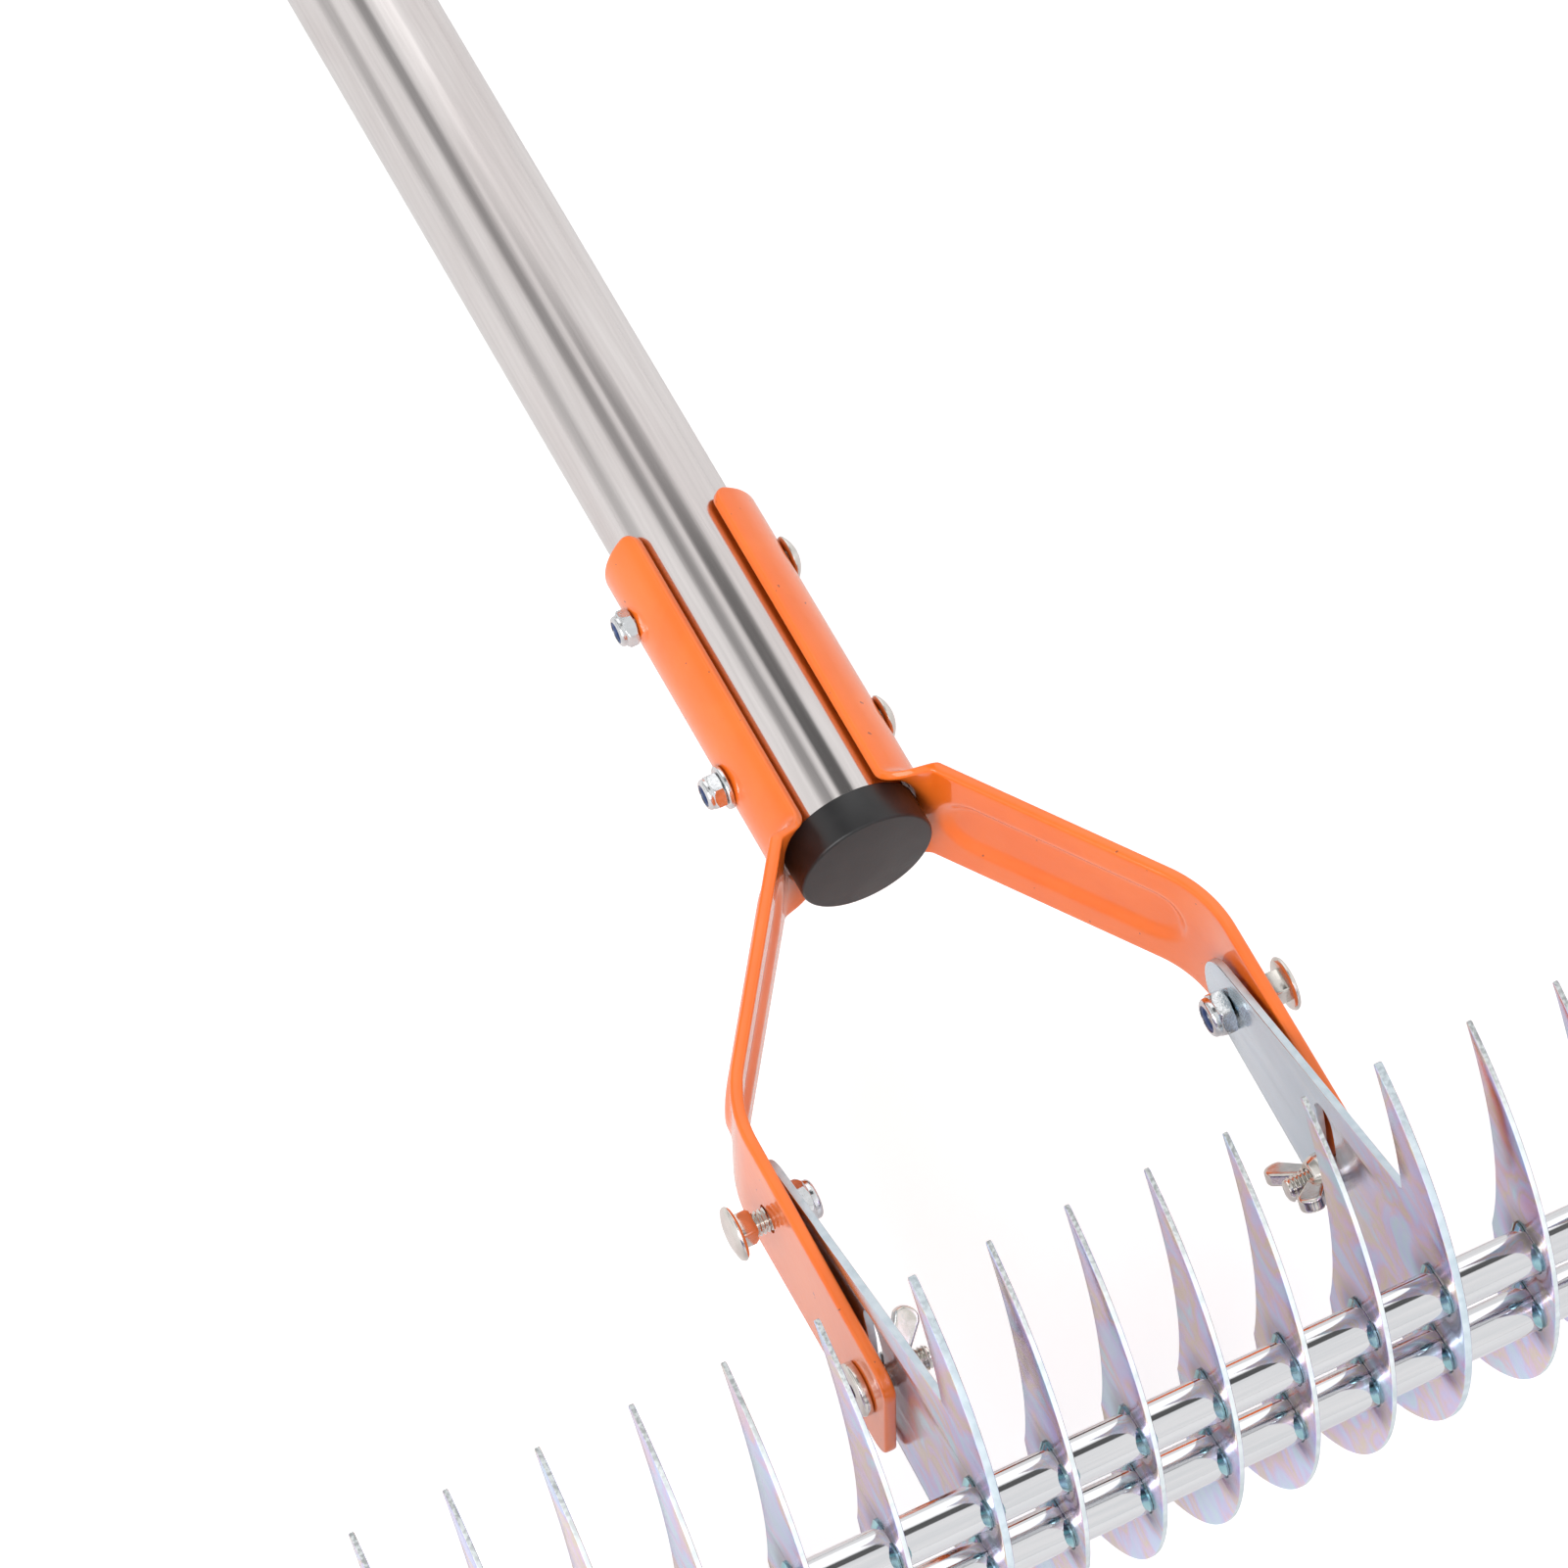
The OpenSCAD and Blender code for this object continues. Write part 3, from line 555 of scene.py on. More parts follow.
handle = dict(
    tubeRadius=16, tubeWall=1.5, tubeLength=1250, tubeReach=74, tubeEdge=0.4, boreEdge=0.3, boltRise=31,
    boltPitch=49, boltHole=3.06)
cap = dict(wall=0.9, skirt=8, floor=2, edge=0.8, rim=0.3, lip=0.2, root=0.3, seat=0.1)
grip = dict(
    wall=3, length=140, setback=2, bevel=1.5, lip=0.2, grooves=19, grooveWidth=3, grooveDepth=0.7,
    grooveEdge=0.8, grooveFloor=1.2)
boltHole = handle["boltHole"]  # radius of each hole that a bolt passes
tubeTop = handle["tubeReach"] + handle["tubeLength"]
tubeBolts = [handle["tubeReach"] + handle["boltRise"] + i * handle["boltPitch"] for i in range(2)]
upHandle = Matrix.Rotation(math.radians(90), 4, "Z")  # turns a lathe's axis from x to y


def makeTube():
    outer, inner = handle["tubeRadius"], handle["tubeRadius"] - handle["tubeWall"]
    start, end = handle["tubeReach"], tubeTop
    edge, boreEdge = handle["tubeEdge"], handle["boreEdge"]
    tube = turned([
        (inner, start, boreEdge), (outer, start, edge), (outer, end, edge), (inner, end, boreEdge)],
        "tube", steps=3, segments=120, loop=True)
    tube.transform(upHandle)
    reach = 2 * outer
    tube = drill(tube, crossPins("tubeHoles", [(-reach, y, boltHole, 2 * reach) for y in tubeBolts]))
    finishPiece("handleTube", tube, "handle", "stainless_tube", ["handle_tube"])


def makeCap(name, node, place):
    inner = handle["tubeRadius"] + cap["seat"]
    outer = handle["tubeRadius"] + cap["wall"]
    end = cap["floor"] + cap["skirt"]
    mesh = turned([
        (0, 0), (outer, 0, cap["edge"]), (outer, end, cap["rim"]), (inner, end, cap["lip"]),
        (inner, cap["floor"], cap["root"]), (0, cap["floor"])], name, steps=5, segments=120)
    finishPiece(name, mesh, "handle", "cap_plastic", [node], place @ upHandle)


def makeGrip():
    inner = handle["tubeRadius"] + cap["seat"]
    outer = handle["tubeRadius"] + grip["wall"]
    top = tubeTop - cap["skirt"] - grip["setback"]
    start = top - grip["length"]
    spacing = grip["length"] / (grip["grooves"] + 1)
    half = grip["grooveWidth"] / 2
    points = [(inner, start, grip["lip"]), (outer, start, grip["bevel"])]
    for i in range(grip["grooves"]):
        middle = start + (i + 1) * spacing
        points += [
            (outer, middle - half, grip["grooveEdge"]),
            (outer - grip["grooveDepth"], middle, grip["grooveFloor"]),
            (outer, middle + half, grip["grooveEdge"])]
    points += [(outer, top, grip["bevel"]), (inner, top, grip["lip"])]
    mesh = turned(points, "grip", segments=96, loop=True)
    finishPiece("gripSleeve", mesh, "handle", "grip_rubber", ["grip_sleeve"], upHandle)


makeTube()
lowerCapPlace = Matrix.Translation((0, handle["tubeReach"] - cap["floor"], 0))
topCapPlace = Matrix.Translation((0, tubeTop + cap["floor"], 0)) @ Matrix.Rotation(math.pi, 4, "X")
makeCap("lowerCap", "lower_cap", lowerCapPlace)
makeCap("topCap", "top_cap", topCapPlace)
makeGrip()


# Arms: one pressed sheet each, half round on the tube, then flare, ribbed splay, knee and leg

arm = dict(
    sheet=3, edge=0.9, edgeSteps=5, columns=45, wrapCover=114, wrapLead=7, wrapLength=85.5, wrapCorner=4,
    wrapGap=1, flareRise=6.5, flareRadius=12, splayAngle=35, splayWidth=38.5, kneeRadius=33, legGap=118,
    legTail=58.5, legEndWidth=35, legCorner=6, ribLength=62, ribShift=4, ribWidth=17, ribDepth=1.5,
    ribSlope=2.2, pivotHole=3.55, slotRadius=47,
    endRows=[0, 0.07, 0.2, 0.4, 0.65, 0.9, 1.4, 2, 2.8, 3.6, 4.6, 6],  # close rows at the round ends
    rowSteps=[3, 0.45, 0.8, 0.8, 1.6])  # wrap, flare, splay, knee, leg
splay = math.radians(arm["splayAngle"])
wrapMiddle = handle["tubeRadius"] + arm["wrapGap"] + arm["sheet"] / 2
wrapOut = wrapMiddle + arm["sheet"] / 2
wrapWidth = wrapMiddle * math.radians(arm["wrapCover"])
wrapShift = wrapMiddle * math.radians(arm["wrapLead"])
legIn = arm["legGap"] / 2
legOut = legIn + arm["sheet"]
legMiddle = legIn + arm["sheet"] / 2
flareReach = handle["tubeReach"] + arm["flareRise"]
flareTangent = arm["flareRadius"] * math.tan(splay / 2)
kneeTangent = arm["kneeRadius"] * math.tan(splay / 2)
flareTop = flareReach + flareTangent
kneeReach = flareReach - (legMiddle - wrapMiddle) / math.tan(splay)
legTop = kneeReach - kneeTangent
splayLength = (legMiddle - wrapMiddle) / math.sin(splay) - flareTangent - kneeTangent
armRuns = [
    arm["wrapLength"], arm["flareRadius"] * splay, splayLength, arm["kneeRadius"] * splay,
    legTop + arm["legTail"]]
armLength = sum(armRuns)
leastBend = 1e-5  # the sheet counts as flat across where it curves less


def ease(part):
    part = min(max(part, 0), 1)
    return part * part * (3 - 2 * part)


def roundedLoss(drop, radius):
    if drop >= radius:
        return 0
    return radius - math.sqrt(max(radius ** 2 - (radius - drop) ** 2, 0))


def armStation(along):
    wrap, flare, flat, knee = armRuns[:-1]
    half = arm["sheet"] / 2 - roundedLoss(min(along, armLength - along), arm["edge"])
    width, shift, bend = arm["splayWidth"], 0, 0
    if along <= wrap:
        x, y, turn = wrapMiddle, flareTop + wrap - along, 0
        width = wrapWidth - 2 * roundedLoss(along, arm["wrapCorner"])
        shift, bend = wrapShift, 1 / wrapMiddle
    elif along <= wrap + flare:
        part = (along - wrap) / flare
        turn = splay * part
        x = wrapMiddle + arm["flareRadius"] * (1 - math.cos(turn))
        y = flareTop - arm["flareRadius"] * math.sin(turn)
        width = wrapWidth + (arm["splayWidth"] - wrapWidth) * ease(part)
        shift, bend = wrapShift * (1 - ease(part)), (1 - ease(part)) / wrapMiddle
    elif along <= wrap + flare + flat:
        run, turn = along - wrap - flare + flareTangent, splay
        x, y = wrapMiddle + run * math.sin(splay), flareReach - run * math.cos(splay)
    elif along <= wrap + flare + flat + knee:
        turn = splay * (1 - (along - wrap - flare - flat) / knee)
        x = legMiddle - arm["kneeRadius"] * (1 - math.cos(turn))
        y = legTop + arm["kneeRadius"] * math.sin(turn)
    else:
        x, y, turn = legMiddle, legTop - (along - wrap - flare - flat - knee), 0
        taper = (y + arm["legTail"]) / (legTop + arm["legTail"])
        width = arm["legEndWidth"] + (arm["splayWidth"] - arm["legEndWidth"]) * taper
        width -= 2 * roundedLoss(armLength - along, arm["legCorner"])
    return dict(x=x, y=y, turn=turn, width=width, shift=shift, bend=bend, half=half, along=along)


def ribLift(along, across):
    middle = armRuns[0] + armRuns[1] + splayLength / 2 + arm["ribShift"]
    past = max(abs(along - middle) - (arm["ribLength"] - arm["ribWidth"]) / 2, 0)
    wall = math.hypot(past, across) - arm["ribWidth"] / 2
    return arm["ribDepth"] * (1 - ease(wall / (2 * arm["ribSlope"]) + 0.5))


def armPoint(station, across, through):
    through += ribLift(station["along"], across)
    across += station["shift"]
    side, sag, lean = across, 0, 0
    if station["bend"] > leastBend:
        lean = across * station["bend"]
        side, sag = math.sin(lean) / station["bend"], (1 - math.cos(lean)) / station["bend"]
    out = through * math.cos(lean) - sag
    x = station["x"] + out * math.cos(station["turn"])
    y = station["y"] + out * math.sin(station["turn"])
    return Vector((x, y, side + through * math.sin(lean)))


def armRing(station):
    edge = min(arm["edge"], station["half"])
    flat, level = station["width"] / 2 - edge, station["half"] - edge
    across = [flat * (2 * k / (arm["columns"] - 1) - 1) for k in range(arm["columns"])]
    corner = [math.radians(90 * (k + 1) / arm["edgeSteps"]) for k in range(arm["edgeSteps"])]
    right = [(flat + edge * math.sin(a), level + edge * math.cos(a)) for a in corner]
    section = [(v, station["half"]) for v in across] + right + [(v, -t) for v, t in right[::-1]]
    section += [(v, -station["half"]) for v in across[::-1]]
    section += [(-v, -t) for v, t in right] + [(-v, t) for v, t in right[::-1]]
    return [armPoint(station, v, t) for v, t in section]


def armStops():
    ends = arm["endRows"]
    stops, start = list(ends), 0
    for length, step in zip(armRuns, arm["rowSteps"]):
        count = math.ceil(length / step)
        stops += [start + length * i / count for i in range(count)]
        start += length
    stops = [stop for stop in stops if stop in ends or ends[-1] < stop < armLength - ends[-1]]
    return sorted(set(stops + [armLength - stop for stop in ends]))


def makeArms():
    sheet = meshOf(skin([armRing(armStation(stop)) for stop in armStops()]), "arm")
    deep = 4 * arm["sheet"]
    holes = [(wrapMiddle, y, boltHole) for y in tubeBolts]
    holes += [(legMiddle, 0, arm["pivotHole"]), (legMiddle, -arm["slotRadius"], boltHole)]
    sheet = drill(sheet, crossPins("armHoles", [(x - deep / 2, y, radius, deep) for x, y, radius in holes]))
    for name, node, turn in (("rightArm", "right_arm", 0), ("leftArm", "left_arm", math.pi)):
        place = Matrix.Rotation(turn, 4, "Y")
        finishPiece(name, sheet.copy(), "handle", "orange_paint", [node], place)


makeArms()


# Head: two mount plates, seventeen blades and two rods

head = dict(
    rodReach=98, rodPitch=22.4, rodRadius=5.5, rodEnd=6, rodEdge=0.8, holeGap=0.25, crownRise=11.7,
    crownRadius=74.6, hollowDepth=15, hollowRadius=88, hollowOffset=20, pointHalf=64.8, pointRound=1,
    innerBlades=5, outerBlades=6, outerPitch=22, crownSteps=72, pointSteps=5)
plate = dict(
    sheet=3, drawn=2, edge=0.36, gap=0.3, endRadius=12, notchHalf=31, notchRound=1.6, slotRadius=47,
    slotWidth=8, slotSwing=15, hollowSteps=24, notchSteps=8, endSteps=48, slotSteps=20, slotEndSteps=16)
blade = dict(sheet=1.8, drawn=1.35, edge=0.32, lean=0.4, seed=7, hollowSteps=40)
ear = dict(
    height=1.6, width=40, swell=0.8, foot=2, lip=0.5, gap=0.05, sunk=0.25, under=0.05, steps=8,
    turns=(29, 149, 269))
plateMiddle = legIn - plate["gap"] - plate["sheet"] / 2
plateIn = plateMiddle - plate["sheet"] / 2
plateDrawn = plateIn + plate["drawn"] / 2
crownReach = head["rodReach"] + head["crownRise"]
crownCentre = crownReach - head["crownRadius"]
hollowCentre = head["rodReach"] - head["hollowDepth"] - head["hollowRadius"]
innerPitch = 2 * plateMiddle / (head["innerBlades"] + 1)
outerRow = [plateMiddle + (i + 1) * head["outerPitch"] for i in range(head["outerBlades"])]
innerRow = [-plateMiddle + (i + 1) * innerPitch for i in range(head["innerBlades"])]
bladeRow = sorted([-x for x in outerRow] + innerRow + outerRow)
pointTrim, notchTrim = 2, 4  # steps of an arc that give way to the rounding at its end


def crownArc():
    sweep = math.asin(head["pointHalf"] / head["crownRadius"])
    return arc((crownCentre, 0), head["crownRadius"], -sweep, sweep, head["crownSteps"])


def hollowArc(start, end, steps):
    angles = [math.asin((y - head["hollowOffset"]) / head["hollowRadius"]) for y in (start, end)]
    return arc((hollowCentre, head["hollowOffset"]), head["hollowRadius"], angles[0], angles[1], steps)


def bluntPoint(crown, hollow):
    radius, steps = head["pointRound"], head["pointSteps"]
    outer = roundCorner(crown[-1 - pointTrim], crown[-1], hollow[0], radius, steps)
    return outer + roundCorner(crown[-1], hollow[0], hollow[pointTrim], radius, steps)


def crescentHalf(hollow):  # from the middle of the convex edge round the upper point and along the hollow
    crown = crownArc()
    crown = crown[len(crown) // 2:]
    return crown[:-pointTrim] + bluntPoint(crown, hollow) + hollow[pointTrim:]


def mirrored(half):
    return [Vector((point.x, -point.y)) for point in half[::-1]]


def bladeOutline():
    half = crescentHalf(hollowArc(head["pointHalf"], 0, blade["hollowSteps"]))
    return half + mirrored(half)[1:-1]


def plateOutline():
    upper = hollowArc(head["pointHalf"], plate["notchHalf"], plate["hollowSteps"])
    notch = upper[-1]
    lean = math.acos(plate["endRadius"] / notch.length) + math.atan2(notch.y, notch.x)
    tangent = plate["endRadius"] * Vector((math.cos(lean), math.sin(lean)))
    root = roundCorner(upper[-notchTrim], notch, tangent, plate["notchRound"], plate["notchSteps"])
    end = arc((0, 0), plate["endRadius"], lean, 2 * math.pi - lean, plate["endSteps"])
    half = crescentHalf(upper[:-notchTrim] + root)
    return half + end + mirrored(half)[:-1]


def slotOutline():
    radius, half, swing = plate["slotRadius"], plate["slotWidth"] / 2, math.radians(plate["slotSwing"])
    steps, endSteps = plate["slotSteps"], plate["slotEndSteps"]
    ends = [radius * Vector((math.cos(side * swing), math.sin(side * swing))) for side in (1, -1)]
    outline = arc((0, 0), radius + half, -swing, swing, steps)
    outline += arc(ends[0], half, swing, swing + math.pi, endSteps)[1:]
    outline += arc((0, 0), radius - half, swing, -swing, steps)[1:]
    return outline + arc(ends[1], half, math.pi - swing, 2 * math.pi - swing, endSteps)[1:-1]


def rodHoles():
    radius = head["rodRadius"] + head["holeGap"]
    return [circle((head["rodReach"], side * head["rodPitch"] / 2), radius) for side in (1, -1)]


def stampedSheet(name, outlines, thickness, edge):
    curve = bpy.data.curves.new(name, "CURVE")
    curve.dimensions = "2D"
    curve.fill_mode = "BOTH"
    curve.extrude = thickness / 2 - edge
    curve.bevel_depth = edge
    curve.bevel_resolution = 2
    curve.offset = -edge
    for outline in outlines:
        spline = curve.splines.new("POLY")
        spline.points.add(len(outline) - 1)
        for point, place in zip(spline.points, outline):
            point.co = (place.x, place.y, 0, 1)
        spline.use_cyclic_u = True
    bm = bmesh.new()
    bm.from_mesh(takeMesh(addObject(name, curve)))
    return meshOf(bm, name)


def markEdges(piece):  # the sheared rim shows bare metal, unlike the tinted faces, which look along the row
    for face in piece.data.polygons:
        face.material_index = 0 if abs(face.normal.x) > 0.5 else 1


def makePlates():
    outlines = [plateOutline(), slotOutline(), circle((0, 0), boltHole)] + rodHoles()
    sheet = stampedSheet("plate", outlines, plate["drawn"], plate["edge"])
    for name, node, side in (
            ("leftMountPlate", "left_mount_plate", 1), ("rightMountPlate", "right_mount_plate", -1)):
        place = Matrix.Translation((0, 0, side * plateDrawn))
        markEdges(finishPiece(name, sheet.copy(), "head", "zinc_sheet", [node], place, plateRim))


def makeBlades():
    sheet = stampedSheet("blade", [bladeOutline()] + rodHoles(), blade["drawn"], blade["edge"])
    sheet.transform(Matrix.Translation((-head["rodReach"], 0, 0)))  # each blade leans about its middle
    places = [((head["rodReach"], 0, -x), (0, 0, 0)) for x in bladeRow]
    lean = math.radians(blade["lean"])
    row = repeatPiece(sheet, places, finishes["zinc_sheet"], None, (lean, lean, 0), blade["seed"])
    nodes = ["blade_%d" % (i + 1) for i in range(len(bladeRow))]
    markEdges(finishPiece("bladeRow", row, "head", "zinc_sheet", nodes, edgeFinish=bladeRim))


def earMesh():
    slices = []
    for i in range(ear["steps"] + 1):
        part = 2 * i / ear["steps"] - 1
        angle = math.radians(ear["width"]) * part
        rise = ear["height"] * (1 - part * part) ** ear["swell"]
        base, top = head["rodRadius"] - ear["sunk"], head["rodRadius"] + rise - ear["under"]
        foot = ear["lip"] + (ear["foot"] - ear["lip"]) * (1 - part * part)
        outline = [(base, 0), (top, 0), (top, ear["lip"]), (base, foot)]
        slices.append([Vector((r * math.cos(angle), r * math.sin(angle), z)) for r, z in outline])
    return meshOf(skin(slices), "ear")


def earPlaces(middle):
    sheets = [(x, blade["drawn"]) for x in bladeRow]
    sheets += [(x, plate["drawn"]) for x in (-plateDrawn, plateDrawn)]
    places = []
    for x, thickness in sheets:
        for side, flip in ((1, 0), (-1, math.pi)):  # a flipped ear stands on the sheet's other side
            face = middle + Vector((0, 0, -x + side * (thickness / 2 + ear["gap"])))
            places += [(face, (flip, 0, math.radians(turn))) for turn in ear["turns"]]
    return places


def makeRods():
    radius, edge = head["rodRadius"], head["rodEdge"]
    half = outerRow[-1] + blade["sheet"] / 2 + head["rodEnd"]
    profile = [(0, -half), (radius, -half, edge), (radius, half, edge), (0, half)]
    for name, node, side in (("upperRod", "upper_rod", 1), ("lowerRod", "lower_rod", -1)):
        bar = turned(profile, name, segments=96)
        middle = Vector((head["rodReach"], side * head["rodPitch"] / 2, 0))
        bar.transform(Matrix.Translation(middle) @ Matrix.Rotation(math.radians(-90), 4, "Y"))
        rod = repeatPiece(earMesh(), earPlaces(middle), finishes["rod_steel"], bar)
        for face in rod.polygons:
            away = math.hypot(face.center.x - middle.x, face.center.y - middle.y)
            face.material_index = 1 if away > radius + ear["under"] else 0
        finishPiece(name, rod, "head", "rod_steel", [node], edgeFinish=stakedSteel)


makePlates()
makeBlades()
makeRods()


# Fasteners, each drawn with its foot at x = 0 and its head or collar towards +x

bolt = dict(radius=3, pitch=1, depth=0.46, sink=1.6, tipLength=1, tipRound=0.3)
nut = dict(
    flats=10, hexHeight=3.8, footShare=0.97, chamfer=1.5, collarHeight=1.8, collarRadius=4.75,
    collarRound=1.15, lipRadius=3.35, lipDepth=0.4, lipRound=0.2, ringRadius=3.9, ringDepth=0.9, bore=3.02,
    boreChamfer=0.4, seat=0.1, steps=6, tubeSize=0.8, tubeRolls=(0.54, 0.03), pivotRolls=(0.54, 0.87))
insert = dict(gap=0.02, lift=0.05, grip=0.35, edge=0.1, mouth=0.3)  # the nylon ring in a lock nut
washer = dict(radius=5.4, sheet=1.4, play=0.2, gap=0.05, edge=0.4, holeEdge=0.2)
tubeHead = dict(
    radius=5.5, height=3, rim=0.9, footShare=0.9, sideRound=0.4, shoulderRound=0.5, crownSteps=12, sunk=0.5,
    crownTrim=2)  # steps of the crown that give way to its rounded shoulder
pivotBolt = dict(  # head: radius, height, rounding
    head=[(0, 0), (6.15, 0, 0.3), (6.75, 0.7, 0.5), (6.25, 1.5, 0.8), (4.05, 2.15, 4), (0, 2.4)],
    neck=4, neckWidth=6.48, neckLead=0.8, neckTaper=0.86, neckRound=0.7, neckSunk=0.3, threadSunk=0.6,
    standoff=7.5)
wingBolt = dict(
    head=[(0, 0), (6.5, 0, 0.5), (6.5, 2.5, 0.9), (2.25, 2.5)],  # radius, height, rounding
    socket=[(1.98, 2.38, 3.36), (3, 2.25, 3), (3, 0.7, 3), (0, 0.3)],  # radius, height, flats
    length=17, sunk=0.2, rolls=(0.3, 0.9))
wingNut = dict(
    span=26, bossHeight=4.4, bossFoot=5.5, bossTop=4.2, waistRise=2.2, waistIn=0.3, bossRounds=(0.4, 1, 0.8),
    wingThick=3.4, wingWidth=6.5, wingRise=8, wingRoot=0.8, topHalf=0.6, tipStart=120, tipEnd=-30, edge=0.6,
    tipSteps=14, grain=0.26, smoothing=3, drillStart=-1, drillLength=14, leftAngle=35, rightAngle=140)
nutHeight = nut["hexHeight"] + nut["collarHeight"]
nutSeat = wrapOut + nut["seat"]
nutFeet = [nutSeat + washer["sheet"], nutSeat]
innerFoot = plateIn - plate["gap"]  # where the pivot nuts and wing nuts stand
wingReach = -plate["slotRadius"]


def threadedRod(start, end, size=1):
    depth = bolt["depth"] * size
    root = bolt["radius"] * size - depth
    settings = {
        "Length": end - start - 2 * depth, "Pitch": bolt["pitch"] * size, "Root": root, "Depth": depth,
        "Finish": nickel}
    thread = growMesh(threadTree, bpy.data.meshes.new("bare"), settings)
    thread.transform(Matrix.Translation((start + depth, 0, 0)) @ Matrix.Rotation(math.radians(90), 4, "Y"))
    tipEnd = start + bolt["tipLength"]
    tip = [(0, start), (root, start, bolt["tipRound"]), (root, tipEnd), (0, tipEnd)]
    return joinMeshes("thread", thread, turned(tip, "tip", steps=3, segments=36))


def tubeBoltHead():
    radius, height, rise, trim = [tubeHead[size] for size in ("radius", "height", "rim", "crownTrim")]
    dome = height - rise
    ball = (radius ** 2 + dome ** 2) / (2 * dome)
    sweep = math.asin(radius / ball)
    crown = []
    for i in range(tubeHead["crownSteps"] + 1):
        angle = sweep * (1 - i / tubeHead["crownSteps"])
        crown.append(Vector((ball * math.sin(angle), height - ball + ball * math.cos(angle))))
    corners = [
        (radius * tubeHead["footShare"], 0), (radius, rise / 2, tubeHead["sideRound"]),
        (*crown[0], tubeHead["shoulderRound"]), crown[trim]]
    return lathe([Vector((0, 0))] + roundCorners(corners)[:-1] + crown[trim:], "head")


def makeTubeBolts():
    parts = []
    for y, foot in zip(tubeBolts, nutFeet):
        end = nutSeat + foot + (nutHeight - bolt["sink"]) * nut["tubeSize"]
        thread = threadedRod(-end, tubeHead["sunk"], nut["tubeSize"])
        mesh = joinMeshes("tubeBolt", tubeBoltHead(), thread)
        mesh.transform(Matrix.Translation((nutSeat, y, 0)))
        parts.append(mesh)
    bolts = joinMeshes("tubeBolts", *parts)
    finishPiece("tubeBolts", bolts, "handle", "nickel_fastener", ["tube_bolts"])


def squareNeck():
    start = -pivotBolt["neck"]
    sizes = [(start, pivotBolt["neckTaper"]), (start + pivotBolt["neckLead"], 1), (pivotBolt["neckSunk"], 1)]
    rings = []
    for along, size in sizes:
        half = pivotBolt["neckWidth"] / 2 * size
        corners = [(half, half), (-half, half), (-half, -half), (half, -half)]
        outline = roundCorners([(*corner, pivotBolt["neckRound"]) for corner in corners], steps=5, loop=True)
        rings.append([Vector((along, point.x, point.y)) for point in outline])
    return meshOf(skin(rings), "neck")


def makePivotBolts():
    under = legOut + pivotBolt["standoff"]
    start = innerFoot - nutHeight + bolt["sink"] - under
    thread = threadedRod(start, -pivotBolt["neck"] + pivotBolt["threadSunk"])
    mesh = joinMeshes("pivotBolt", turned(pivotBolt["head"], "head", steps=5), squareNeck(), thread)
    places = [((under, 0, 0), (0, 0, 0)), ((-under, 0, 0), (0, 0, math.pi))]
    bolts = repeatPiece(mesh, places, nickel)
    finishPiece("pivotBolts", bolts, "handle", "nickel_fastener", ["pivot_bolts"])


def hexProfile():
    corner = nut["flats"] / 2 / math.cos(math.pi / 6)
    face, top, steps = nut["flats"] / 2 * nut["footShare"], nut["hexHeight"], nut["steps"]
    fall = []
    for i in range(steps + 1):
        out = (corner - face) * i / steps
        fall.append((face + out, math.tan(math.pi / 6) * (corner - face) * i / steps))
    hexSides = [(radius, along, nut["flats"]) for radius, along in fall]
    return hexSides + [(radius, top - along * nut["chamfer"], nut["flats"]) for radius, along in fall[::-1]]


def lockNut():
    collar, bend, top = nut["collarRadius"], nut["collarRound"], nutHeight
    under, seat = top - nut["lipDepth"], top - nut["lipDepth"] - nut["ringDepth"]
    shoulder = [(collar, nut["hexHeight"])]
    shoulder += arc((collar - bend, top - bend), bend, 0, math.pi / 2, nut["steps"])
    lip = roundCorners([
        shoulder[-1], (nut["lipRadius"], top, nut["lipRound"]), (nut["lipRadius"], under),
        (nut["ringRadius"], under), (nut["ringRadius"], seat)], steps=5)
    bore, chamfer = nut["bore"], nut["boreChamfer"]
    inside = [(bore, seat), (bore, chamfer), (bore + chamfer, 0)]
    return lathe(hexProfile() + shoulder + lip[1:] + inside, "nut", loop=True)


def lockRing():
    top = nutHeight - nut["lipDepth"] - insert["gap"]
    foot = top - nut["ringDepth"] + insert["lift"]
    outer, inner = nut["ringRadius"] - insert["gap"], nut["bore"] - insert["grip"]
    profile = [(outer, foot), (outer, top, insert["edge"]), (inner, top, insert["mouth"]), (inner, foot)]
    return turned(profile, "ring", segments=48, loop=True)


def onEachBolt(mesh, finish):  # full size on the pivot bolts, smaller on the tube bolts
    rightRoll, leftRoll = nut["pivotRolls"]
    onPivots = [((innerFoot, 0, 0), (rightRoll, 0, math.pi)), ((-innerFoot, 0, 0), (leftRoll, 0, 0))]
    tubeRows = zip(nutFeet, tubeBolts, nut["tubeRolls"])
    onTube = [((-foot, y, 0), (roll, 0, math.pi)) for foot, y, roll in tubeRows]
    pivotPair = repeatPiece(mesh, onPivots, finish)
    mesh.transform(Matrix.Scale(nut["tubeSize"], 4))
    return repeatPiece(mesh, onTube, finish, pivotPair)


def makeNuts():
    nuts = onEachBolt(lockNut(), finishes["zinc_fastener"])
    rings = onEachBolt(lockRing(), finishes["blue_nylon"])
    finishPiece("lockNuts", nuts, "handle", "zinc_fastener", ["tube_nuts", "pivot_nuts"])
    finishPiece("lockRings", rings, "handle", "blue_nylon", ["nut_rings"])


